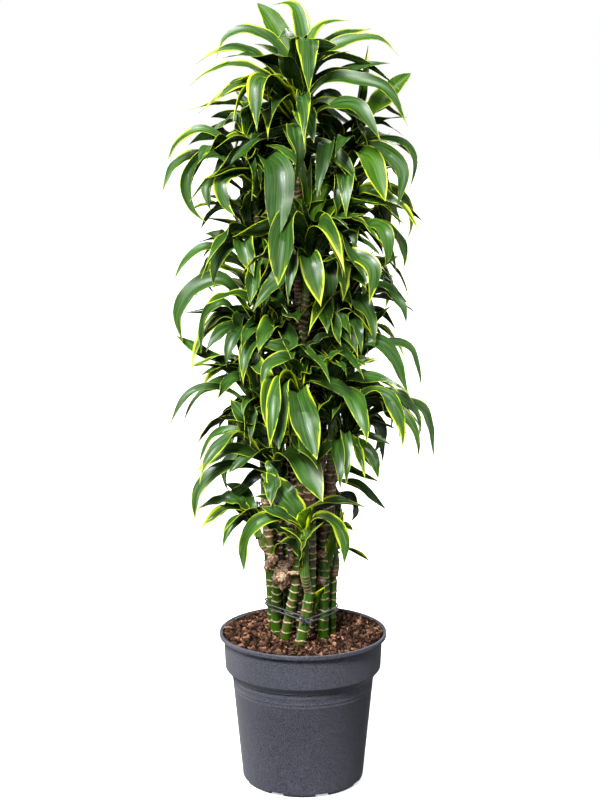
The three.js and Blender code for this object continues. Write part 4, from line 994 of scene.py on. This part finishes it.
def drawn_midrib(leaf):
    """A midrib through the drawn places, from the solid's root to its tip."""
    plain = midrib(leaf)[0] if "length" in leaf else [leaf["root"]]
    tip = seen_at(*leaf["tip"]) if "tip" in leaf else plain[-1]
    line = smooth_line([plain[0], *(seen_at(*place) for place in leaf["way"]), tip], 10)
    points = along_line(line, np.linspace(0, ways_of(line)[-1], MIDRIB_STEPS + 1))
    ahead = np.gradient(points, axis=0)
    ahead /= np.linalg.norm(ahead, axis=1)[:, None]
    turn = math.atan2(tip[1] - plain[0][1], tip[0] - plain[0][0])
    if leaf.get("faces") is not None:
        turn = math.radians(leaf["faces"])
    above = np.cross(ahead, (-math.sin(turn), math.cos(turn), 0))
    above /= np.linalg.norm(above, axis=1)[:, None]
    first, last = leaf["roll"] if "roll" in leaf else (0, leaf["twist"])
    return points, *rolled(np.cross(above, ahead), above, first + (last - first) * SHARES * (2 - SHARES))


def course_of(width, roll, point, *places):
    """The values of a drawn leaf that a row of its table gives."""
    course = {"width": width, "roll": roll, "point": point, "way": places[:-1], "tip": places[-1]}
    return {key: value for key, value in course.items() if value is not None}


def root_on(head, share):
    """The point on a shoot's middle where a leaf at a height share is rooted."""
    total = ways_of(head["line"])[-1]
    return along_line(head["line"], [total * between(LEAFY_SHARE, share) - CROWN_DEPTH])[0]


def listed_leaves(head):
    for entry in head["shown"]:
        leaf = {"drift": 0, **dict(zip(LISTED, entry))}
        yield {**leaf, "root": root_on(head, leaf["share"])}


def rule_leaves(head, number):
    """The leaves by rule: a golden turn apart, low ones old and spreading, high ones young and upright."""
    draw = draws_from(1000 + number * 77)
    for _ in range(5):
        next(draw)
    count = head["leaves"] - len(head["shown"])
    for i in range(count):
        share = (i + 0.5) / count
        yield {
            "share": share,
            "root": root_on(head, share),
            "azimuth": head["turn"] + i * GOLDEN_TURN + next(draw) * SPREAD["azimuth"],
            "length": head["length"]
            * (0.72 + 0.34 * math.sin(math.pi * (0.2 + 0.7 * share)) + next(draw) * SPREAD["length"]),
            "width": head["width"] * (0.86 + 0.2 * math.sin(math.pi * share) + next(draw) * SPREAD["width"]),
            "rise": LOW_LEAF["rise"] + HIGH_GAIN["rise"] * share + next(draw) * SPREAD["rise"],
            "bend": LOW_LEAF["bend"] + HIGH_GAIN["bend"] * share * share + next(draw) * SPREAD["bend"],
            "drift": next(draw) * SPREAD["drift"],
            "twist": next(draw) * SPREAD["twist"],
        }


def settled(leaf, corners):
    """The leaf in the place where the solid has it: its tip is a corner of the solid. None if it has none."""
    for share in SHORTER:
        for turn, lift in ASIDE:
            tried = {
                **leaf,
                "length": leaf["length"] * share,
                "azimuth": leaf["azimuth"] + turn,
                "rise": leaf["rise"] + lift,
            }
            tip = midrib(tried)[0][-1]
            if corners.find(tip * MM)[2] < TIP_MATCH * MM:
                return tried
    return None


def clear_of_canes(leaf):
    points = midrib(leaf)[0][MIDRIB_STEPS // 5:]
    gaps = np.linalg.norm(points[:, None] - CANE_POINTS[None], axis=2)
    return gaps.min() > CANE_CLEAR


def inner_leaves(head, number):
    """Further leaves that fill a head, shorter than those of the solid, clear of every cane, and dark in tone
    as painted shade.
    """
    dice = random.Random(900 + number)
    count = round(head["leaves"] * (CENTRE_SHARE if "centre" in head["name"] else INNER_SHARE))
    for i in range(count):
        share = (i + dice.random()) / count
        leaf = {"share": share, "root": root_on(head, share), "drift": dice.uniform(-20, 20)}
        for _ in range(12):
            leaf["azimuth"] = dice.uniform(0, 360)
            leaf["length"] = head["length"] * dice.uniform(0.6, 1.0)
            leaf["width"] = head["width"] * dice.uniform(0.8, 1.2)
            # painted shade: the leaves inside a head draw the darkest tones
            leaf["tone"] = dice.uniform(0, 0.24)
            leaf["rise"] = between((34, 82), share) + dice.gauss(0, 9)
            leaf["bend"] = between((165, 70), share) + dice.gauss(0, 22)
            leaf["twist"] = dice.uniform(-55, 55)
            if clear_of_canes(leaf):
                yield leaf
                break


def spears(head, number):
    """The youngest leaves, short and nearly upright in the crown."""
    dice = random.Random(300 + number)
    for i in range(SPEARS):
        yield {
            "share": 1, "root": root_on(head, 1), "azimuth": i * GOLDEN_TURN + dice.uniform(0, 60),
            "length": head["length"] * dice.uniform(0.22, 0.5), "width": dice.uniform(11, 19),
            "rise": dice.uniform(76, 90), "bend": dice.uniform(5, 35), "drift": dice.uniform(-20, 20),
            "twist": dice.uniform(-30, 30), "young": True,
        }


def leaf_tone(leaf, dice):
    """How pale a leaf is, from 0 to 1: most are deep green, and the young ones are bright."""
    if leaf.get("young"):
        return dice.uniform(0.78, 1)
    low, high = dice.choice(((0, 0.3), (0.05, 0.4), (0.3, 0.55), (0.5, 0.8)))
    return leaf.get("tone", dice.uniform(low, high))


def blade_draws(leaf, dice):
    """A blade's own draws: its waves, its fold and where it is pinched, its tip and its tone."""
    return {
        "waves": dice.uniform(1.5, 5),
        "swing": dice.uniform(0.08, 0.34) * (0.6 if "way" in leaf else 1),
        "phases": (dice.random(), dice.random()),
        "crease": dice.uniform(8, 34),
        "pinch": dice.uniform(0.3, 0.7),
        "point": dice.uniform(1.15, 1.9),
        "tone": leaf_tone(leaf, dice),
    }


def blade_points(leaf, own, course, u, t):
    """A blade's points and half widths, at u from edge to edge (-1 to 1) and t from root to tip: folded along
    its midrib, wavy-edged, and wrapped round the shoot at its base."""
    point, side, up = (
        np.stack([np.interp(t, SHARES, way[:, k]) for k in range(3)], axis=1) for way in course
    )
    half = leaf["width"] / 2 * (width_share(t, leaf.get("point", own["point"])) + BASE_SHARE * (1 - t) ** 5)
    pinched = 1 + PINCH_SHARE * np.exp(-(((t - own["pinch"]) / PINCH_SPAN) ** 2))
    fold = np.radians(own["crease"] * pinched + (BASE_FOLD - own["crease"]) * (1 - t) ** 4)
    left, right = own["phases"]
    phase = np.where(u > 0, right, left) + 0.35 * np.sin(5 * t + left * 9)
    wave = np.sin(math.tau * (own["waves"] * t + phase)) * own["swing"] * half * u * u
    wave *= np.sqrt(np.sin(math.pi * t))
    height = np.abs(u) ** 1.25 * half * np.sin(fold) + wave
    blade = point + side * (u * half * np.cos(fold))[:, None] + up * height[:, None]
    wrap = np.clip(1 - t / WRAP_SHARE, 0, 1)[:, None]
    wrap = wrap * wrap * (3 - 2 * wrap)
    angle = math.radians(leaf["azimuth"]) + u * math.radians(WRAP_TURN)
    reach = leaf["reach"] + WRAP_GAP + leaf["flare"] * np.minimum(1, t / WRAP_SHARE)
    x, y, _ = leaf["root"]
    sheath = np.stack((x + reach * np.cos(angle), y + reach * np.sin(angle), point[:, 2]), axis=1)
    return (blade * (1 - wrap) + sheath * wrap) * MM, half * MM


def lay_blade(bm, leaf, dice, layers):
    """A leaf blade from a grid, with what its material needs on its points. Gives back its faces."""
    own = blade_draws(leaf, dice)
    grid = bmesh.ops.create_grid(bm, x_segments=BLADE_COLUMNS, y_segments=BLADE_ROWS, size=1)["verts"]
    u, t = np.array([(vert.co.x, (vert.co.y + 1) / 2) for vert in grid]).T
    course = drawn_midrib(leaf) if "way" in leaf else own_midrib(leaf, dice)
    blade, half = blade_points(leaf, own, course, u, t)
    for vert, place, along, across, gap in zip(grid, blade, t, u * half, (1 - np.abs(u)) * half):
        vert.co = place
        vert[layers["along"]] = along
        vert[layers["across"]] = across
        vert[layers["edge_gap"]] = gap
        vert[layers["tone"]] = own["tone"]
    tip = [vert for vert in grid if vert[layers["along"]] > 0.999]
    bmesh.ops.remove_doubles(bm, verts=tip, dist=1e-4)
    return {face for vert in grid if vert.is_valid for face in vert.link_faces}


def leaves_of(head, number):
    """All leaves of a head: those of its solid, those that only the picture shows, and the small ones."""
    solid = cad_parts[head["name"]]
    corners = kdtree.KDTree(len(solid.data.vertices))
    for vert in solid.data.vertices:
        corners.insert(vert.co, vert.index)
    corners.balance()
    drawn, tones, raised = (table.get(head["name"], {}) for table in (DRAWN, TONES, RAISED))
    stem = SHEATHED.get(head["name"], SHOOT_RADIUS)
    leaves = []
    for i, leaf in enumerate([*listed_leaves(head), *rule_leaves(head, number)]):
        leaf = settled(leaf, corners)
        if leaf:
            if i in drawn:
                leaf.update(course_of(*drawn[i]))
            if i in tones:
                leaf["tone"] = tones[i]
            leaf["share"] = raised.get(i, leaf["share"])
            leaf["root"] = root_on(head, leaf["share"])
            leaves.append(leaf)
    for name, azimuth, tone, faces, start, *row in FURTHER:
        if name == head["name"]:
            own = {"azimuth": azimuth, "tone": tone, "root": seen_at(*start), "reach": 1}
            leaves.append({**own, "faces": faces, **course_of(*row)})
    if head["name"] not in BARE_HEADS:
        leaves += [*inner_leaves(head, number), *spears(head, number)]
    for leaf in leaves:
        leaf["flare"] = SHEATHED_FLARE if head["name"] in SHEATHED else WRAP_FLARE
        if "reach" not in leaf:
            leaf["reach"] = between(stem, between(LEAFY_SHARE, leaf["share"]))
    return leaves


def make_head(head, number, materials):
    """One head as one piece: its shoot and its leaves, each a thin closed blade."""
    bm = bmesh.new()
    layers = layers_of(bm, "edge_gap", "tone")
    dice = random.Random(500 + number)
    for leaf in leaves_of(head, number):
        upper = lay_blade(bm, leaf, dice, layers)
        shell = bmesh.ops.solidify(bm, geom=list(upper), thickness=BLADE_THICKNESS * MM)["geom"]
        new_verts = [part for part in shell if isinstance(part, bmesh.types.BMVert)]
        for face in {face for vert in new_verts for face in vert.link_faces} - upper:
            face.material_index = 1
    kept = set(bm.faces)
    line = head["line"]
    rings = ring_ways(ways_of(line)[-1] * LEAFY_SHARE[0], 5, number + 70, (8, 8))
    radius = SHEATHED.get(head["name"], SHOOT_RADIUS)
    ringed_stem(bm, line, radius, rings, number + 40, 12, 0.8, lambda way: 1 - way / 45, layers)
    for face in set(bm.faces) - kept:
        face.material_index = 2
    name = head["name"].replace("head_", "leaves_")
    finish_piece(name, bm, (head["name"],), materials, sharp=60)


def make_heads():
    materials = (
        leaf_material("leaf_upper", *LEAF_GREENS, LIME, 0.26, 0.00006),
        leaf_material("leaf_underside", *UNDER_GREENS, UNDER_LIME, 0.4, 0.0001),
        shoot_material(),
    )
    for number, head in enumerate(HEADS):
        head["line"] = smooth_line(head["shoot"])
        make_head(head, number, materials)


# ------------------------------------------------------------------ pot and soil
ROUND_STEPS = 128
INNER_BODY = tuple(radius - POT_WALL for radius in BODY_RADIUS)
INNER_BAND = tuple(radius - POT_WALL for radius in BAND_RADIUS)
RIM_WALL = 3.2
FINE_RINGS = (178, 185, 196)  # heights of the faint moulded rings
SOIL_SIZE = (LIP_RADIUS - RIM_WALL - 1.6, 284)  # the radius and the height of its edge, at the rim
# Chips and crumbs: one block doubled this often, their least and most length, width and height, how far they
# tilt, and the seed.
CHIPS = ("bark_chips", 10, ((6, 18), (3, 8), (2.5, 6)), 0.6, 4)
CRUMBS = ("bark_crumbs", 11, ((1.5, 4), (1, 2.4), (0.8, 2)), 0.9, 9)
CRUMB_SHADES = (0, 0.01, 0.04, 0.08, 0.13, 0.2, 0.3, 0.75)  # from dark to pale, drawn alike
SOIL_ROWS = 50
BED_DEPTH = 1.2  # how far the smooth bed lies below the ground that chips and crumbs are laid on


def arc(centre, radius, start, end, count):
    """A round stretch of a profile, from one angle to another."""
    for i in range(count + 1):
        angle = math.radians(between((start, end), i / count))
        yield centre[0] + radius * math.cos(angle), centre[1] + radius * math.sin(angle)


def spun(bm, profile):
    """A profile of (radius, height) points spun all round the upright axis."""
    verts = [bm.verts.new((radius * MM, 0, height * MM)) for radius, height in profile]
    edges = [bm.edges.new(pair) for pair in zip(verts, verts[1:])]
    bmesh.ops.spin(
        bm, geom=verts + edges, cent=(0, 0, 0), axis=(0, 0, 1), dvec=(0, 0, 0),
        angle=math.tau, steps=ROUND_STEPS, use_merge=True, use_duplicate=False,
    )
    bmesh.ops.remove_doubles(bm, verts=bm.verts[:], dist=1e-6)
    bmesh.ops.recalc_face_normals(bm, faces=bm.faces[:])


def wall_rings(top, bottom):
    """The body's outer wall, from its foot up, with faint moulded rings standing out of it."""
    for ring in FINE_RINGS:
        for offset, out in ((-1, 0), (-0.4, 0.22), (0.4, 0.22), (1, 0)):
            height = ring + offset
            share = (height - bottom[1]) / (top[1] - bottom[1])
            yield bottom[0] + (top[0] - bottom[0]) * share + out, height


def pot_profile():
    """The pot's section as (radius, height): up the outside from the foot's middle, and down the inside."""
    step = BAND_BOTTOM - STEP_HEIGHT
    foot = (BODY_RADIUS[1] - FOOT_ROUND, FOOT_ROUND)
    lip_foot = POT_HEIGHT - LIP_HEIGHT
    rim = LIP_RADIUS - RIM_WALL
    return [
        (0, 0),
        *arc(foot, FOOT_ROUND, -90, 0, 8),
        *wall_rings((BODY_RADIUS[0], step), (BODY_RADIUS[1], FOOT_ROUND)),
        (BODY_RADIUS[0] - 0.1, step - 2.6),
        (BODY_RADIUS[0], step - 1.6),
        (BODY_RADIUS[0] + 2.2, step - 1.4),
        *arc((BODY_RADIUS[0] + 2.2, step - 0.4), 1, -60, 30, 3),
        *arc((BAND_RADIUS[1] - 3, BAND_BOTTOM + 0.5), 3, -42, 0, 4),
        (BAND_RADIUS[0], lip_foot - 1.5),
        (BAND_RADIUS[0] + 1, lip_foot - 0.2),
        *arc((LIP_RADIUS - 1, lip_foot + 0.8), 0.8, -90, 0, 3),
        *arc((LIP_RADIUS - 1.7, POT_HEIGHT - 1.5), 1.5, 0, 90, 4),
        *arc((rim, POT_HEIGHT - 1), 1, 90, 170, 3),
        (rim - 1.4, POT_HEIGHT - 2.6),
        (INNER_BAND[1] + 3, POT_HEIGHT - 6),
        (INNER_BAND[1], POT_HEIGHT - 9),
        (INNER_BAND[0], BAND_BOTTOM + 3),
        (INNER_BODY[0] + 1, step + 3),
        (INNER_BODY[0], step),
        (INNER_BODY[1], POT_FLOOR + 4),
        (INNER_BODY[1] - 4, POT_FLOOR),
        (0, POT_FLOOR),
    ]


def make_pot():
    bm = bmesh.new()
    spun(bm, pot_profile())
    pot = finish_piece("pot_moulded", bm, ("pot",), (pot_material(),))
    cut_notches(pot)
    pot.data.set_sharp_from_angle(angle=math.radians(35))


def cut_notches(pot):
    """Cuts the drain notches round the foot."""
    depth, width, height = DRAIN_SIZE
    bm = bmesh.new()
    for i in range(DRAIN_COUNT):
        place = Matrix.Rotation(math.radians(DRAIN_TURN + i * 360 / DRAIN_COUNT), 4, "Z")
        place @= Matrix.Translation(Vector((BODY_RADIUS[1] - depth / 2 + 6, 0, height / 2 - 1)) * MM)
        place @= Matrix.Diagonal((depth * MM, width * MM, height * MM, 1))
        bmesh.ops.create_cube(bm, size=1, matrix=place)
    mesh = bpy.data.meshes.new("notches")
    bm.to_mesh(mesh)
    bm.free()
    cutter = put("notches", mesh)
    cut = pot.modifiers.new("notches", "BOOLEAN")
    cut.operation = "DIFFERENCE"
    cut.solver = "EXACT"
    cut.object = cutter
    done = bpy.data.meshes.new_from_object(pot.evaluated_get(bpy.context.evaluated_depsgraph_get()))
    pot.modifiers.clear()
    pot.data = done
    bpy.data.objects.remove(cutter)


def ground_height(x, y):
    """The soil's lumpy top at a point, in millimetres: banked up to the rim, lower round the canes."""
    reach = math.hypot(x, y) / SOIL_SIZE[0]
    bank = (SOIL_SIZE[1] - SOIL_LEVEL - 4) * reach * reach
    broad = 3 * noise.noise(Vector((x / 24, y / 24, 0)))
    crumbs = 2.4 * noise.noise(Vector((x / 7, y / 7, 4)))
    return SOIL_LEVEL + 3 + bank + (broad + crumbs) * (1 - reach**8)


def make_soil():
    profile = [
        (0, POT_FLOOR + SOIL_GAP),
        (INNER_BODY[1] - 5, POT_FLOOR + SOIL_GAP),
        (INNER_BODY[1] - SOIL_GAP, POT_FLOOR + 5),
        (INNER_BODY[0] - SOIL_GAP, BAND_BOTTOM - STEP_HEIGHT - 1),
        (INNER_BAND[0] - SOIL_GAP, BAND_BOTTOM + 4),
        (INNER_BAND[1] - SOIL_GAP, POT_HEIGHT - 9.5),
        *((SOIL_SIZE[0] * (1 - i / SOIL_ROWS), SOIL_SIZE[1]) for i in range(SOIL_ROWS + 1)),
    ]
    bm = bmesh.new()
    tone = bm.verts.layers.float.new("tone")
    spun(bm, profile)
    for vert in bm.verts:
        vert[tone] = 0.25
        if vert.co.z / MM > SOIL_SIZE[1] - 1:
            vert.co.z = (ground_height(vert.co.x / MM, vert.co.y / MM) - BED_DEPTH) * MM
    # the bed's browns are partly painted shade in the gaps between chips
    peat = soil_material("peat", *PEAT_AND_SHADE_BROWNS)
    finish_piece("soil_bed", bm, ("soil",), (peat,))
    bark = soil_material("bark", *BARK_BROWNS)
    scatter(*CHIPS, bark)
    scatter(*CRUMBS, bark)


def scatter(name, doublings, sizes, tilt, seed, finish):
    """Split blocks of bark of sizes between the given ones, scattered over the soil, tapered and askew."""
    dice = random.Random(seed)
    bm = bmesh.new()
    tone = bm.verts.layers.float.new("tone")
    corners = len(bmesh.ops.create_cube(bm, size=1)["verts"])
    for _ in range(doublings):
        bmesh.ops.duplicate(bm, geom=[*bm.verts, *bm.edges, *bm.faces])
    bm.verts.ensure_lookup_table()
    for first in range(0, len(bm.verts), corners):
        reach, turn = (SOIL_SIZE[0] - 4) * math.sqrt(dice.random()), dice.uniform(0, math.tau)
        x, y = reach * math.cos(turn), reach * math.sin(turn)
        size = [dice.triangular(low, high, low) for low, high in sizes]
        spin = Euler((dice.gauss(0, tilt), dice.gauss(0, tilt), dice.uniform(0, math.tau)))
        place = Matrix.Translation(Vector((x, y, ground_height(x, y) + dice.uniform(-2, 2.4))) * MM)
        place = place @ spin.to_matrix().to_4x4() @ Matrix.Diagonal((*(v * MM for v in size), 1))
        shade = dice.choice(CRUMB_SHADES) + dice.uniform(0, 0.06)
        for vert in bm.verts[first:first + corners]:
            vert.co = place @ Vector([v * dice.uniform(0.45, 1.15) for v in vert.co])
            vert[tone] = shade
    finish_piece(name, bm, (), (finish,), sharp=20)


# ------------------------------------------------------------------ ties
UP = np.array((0, 0, 1))
# Each tie: the piece, its node, its height, its turns, how far these rise, and the degrees where it starts.
TIES = (("wire_lower", "tie_lower", 328, 2, 15, 236), ("wire_upper", "tie_upper", 524, 1, 9, 100))


def tie_line(height, turns, rise, start):
    """A wire drawn tight round the canes: from cane to cane, round the outside of each."""
    around = []
    for name, (_, radius, _) in CANES.items():
        line = CANE_LINES[name]
        if line[-1][2] > height:
            centre = [np.interp(height, line[:, 2], line[:, k]) for k in range(2)]
            around.append((np.array(centre), radius[0] + TIE_GAP + WIRE_RADIUS))
    steps = turns * 120
    points = []
    for i in range(steps + 1):
        angle = math.radians(start + i * 3)
        out = np.array((math.cos(angle), math.sin(angle)))
        centre, radius = max(around, key=lambda cane: cane[0] @ out + cane[1])
        points.append((*(centre + out * radius), height + rise * (i / steps - 0.5)))
    kept = [points[0]]
    for point in points[1:]:
        if math.dist(point, kept[-1]) > TIE_STEP:
            kept.append(point)
    kept[-1] = points[-1]
    return kept


def wire(bm, line, count):
    tube(bm, line, np.linspace(0, ways_of(line)[-1], count), 8, lambda way, angle: WIRE_RADIUS, (0, 0, 1))


def make_tie(name, node_name, height, turns, rise, start, finish):
    """A tie: the wire round the canes, and its two ends twisted round each other."""
    line = np.array(tie_line(height, turns, rise, start))
    knot = (line[0] + line[-1]) / 2
    outward = unit(np.array((knot[0], knot[1], 0)))
    aside = np.cross(outward, (0, 0, 1))
    bm = bmesh.new()
    wire(bm, line, int(ways_of(line)[-1] / TIE_STEP))
    for lead, phase in ((line[0], 0.0), (line[-1], math.pi)):
        strand = [lead, lead + outward * 3 - aside * 2]
        for share in np.arange(25) / 24:
            angle = phase + share * math.tau * TAIL_TURNS
            spread = WIRE_RADIUS * (1 + 2.2 * max(0, share - 0.75))
            axis = knot + outward * 4.5 - aside * (5 + share * (TAIL_LENGTH - 5)) - UP * 7 * share
            strand.append(axis + spread * (outward * math.cos(angle) + UP * math.sin(angle)))
        wire(bm, smooth_line(strand, 3), 90)
    finish_piece(name, bm, (node_name,), (finish,))


def make_ties():
    finish = wire_material()
    for row in TIES:
        make_tie(*row, finish)


# ------------------------------------------------------------------ floor, light and camera
SENSOR = 36
FLOOR_LIGHT = 0.13
SIDE_LIGHT = 0.02
SKY_LIGHT = 0.2
SKY_COLOUR = (0.86, 0.93, 1.0)
FLOOR_GLOW = 0.55
SUN_LIGHT = 6.2
SUN_BREADTH = 13  # degrees
SUN_TURN = (math.radians(38), math.radians(-18), 0)
SUN_COLOUR = (0.97, 0.99, 1.0)
# Soft boxes in front, beside and behind: name, place and aim in metres, size, and power in watts.
LAMPS = (
    ("key", (-1.5, -2.4, 2.6), (0, 0, 0.8), (1.1, 1.1), 85),
    ("fill", (2.6, -1.4, 1.9), (0, 0, 0.7), (0.8, 2.2), 25),
    ("rim", (1.4, 2.4, 2.6), (0, 0, 0.9), (1.2, 1.2), 60),
    ("left", (-2.4, 0.7, 0.9), (0, 0, 0.6), (1.4, 2.2), 60),
    ("bounce", (0.3, -1.6, 0.12), (0, 0, 0.25), (2.4, 0.3), 5),
    ("right", (2.4, 1.0, 0.9), (0, 0, 0.6), (1.2, 2.2), 12),
)


def make_camera():
    data = bpy.data.cameras.new("camera")
    data.sensor_width = SENSOR
    data.lens = CAMERA["focal"] / PICTURE[1] * SENSOR
    data.clip_end = 100
    turn = (math.radians(90 - CAMERA["down"]), 0, 0)
    bpy.context.scene.camera = put("camera", data, Vector(CAMERA["place"]) * MM, turn)


def make_floor():
    bm = bmesh.new()
    bmesh.ops.create_circle(bm, cap_ends=True, segments=96, radius=60)
    mesh = bpy.data.meshes.new("floor")
    bm.to_mesh(mesh)
    bm.free()
    pale, tree, shader = material("pale_floor", 0.9)
    speck = use(tree, BLOTCHES, Scale=3.0, Low=0.3, High=0.7)
    feed(tree, shader, Base_Color=mixed(tree, speck, *FLOOR_WHITES))
    shader.inputs["Emission Color"].default_value = (1, 1, 1, 1)
    shader.inputs["Emission Strength"].default_value = FLOOR_GLOW
    mesh.materials.append(pale)
    floor = put("floor", mesh)
    floor.visible_diffuse = False  # so that a bright floor doesn't wash out the undersides
    floor.visible_glossy = False


def area_light(name, place, aim, size, power):
    data = bpy.data.lights.new(name, "AREA")
    data.shape = "RECTANGLE"
    data.size, data.size_y = size
    data.energy = power
    put(name, data, place, (Vector(aim) - Vector(place)).to_track_quat("-Z", "Y").to_euler())


def make_world():
    """A white room that lights more from above and below than from the sides."""
    world = bpy.data.worlds.new("studio")
    world.use_nodes = True
    tree = world.node_tree
    direction = node(tree, "TexCoord").outputs["Generated"]
    upward = node(tree, "SeparateXYZ", {0: direction}).outputs["Z"]
    above = ranged(tree, upward, 0.0, 0.9, SIDE_LIGHT, SKY_LIGHT)
    ambient = maths(tree, "ADD", above, ranged(tree, upward, -0.7, 0.0, FLOOR_LIGHT - SIDE_LIGHT, 0.0))
    sky = mixed(tree, ambient, (0, 0, 0), SKY_COLOUR)
    seen = node(tree, "LightPath").outputs["Is Camera Ray"]
    tree.links.new(mixed(tree, seen, sky, (1, 1, 1)), tree.nodes["Background"].inputs["Color"])
    bpy.context.scene.world = world


def make_light():
    sun = bpy.data.lights.new("sun", "SUN")
    sun.energy = SUN_LIGHT
    sun.angle = math.radians(SUN_BREADTH)
    sun.color = SUN_COLOUR
    put("sun", sun, turn=SUN_TURN)
    for row in LAMPS:
        area_light(*row)
    bpy.context.scene.view_settings.view_transform = "Standard"


# ------------------------------------------------------------------ the whole plant
make_camera()
make_floor()
make_world()
make_light()
make_pot()
make_soil()
make_canes()
make_old_stems()
make_heads()
make_ties()
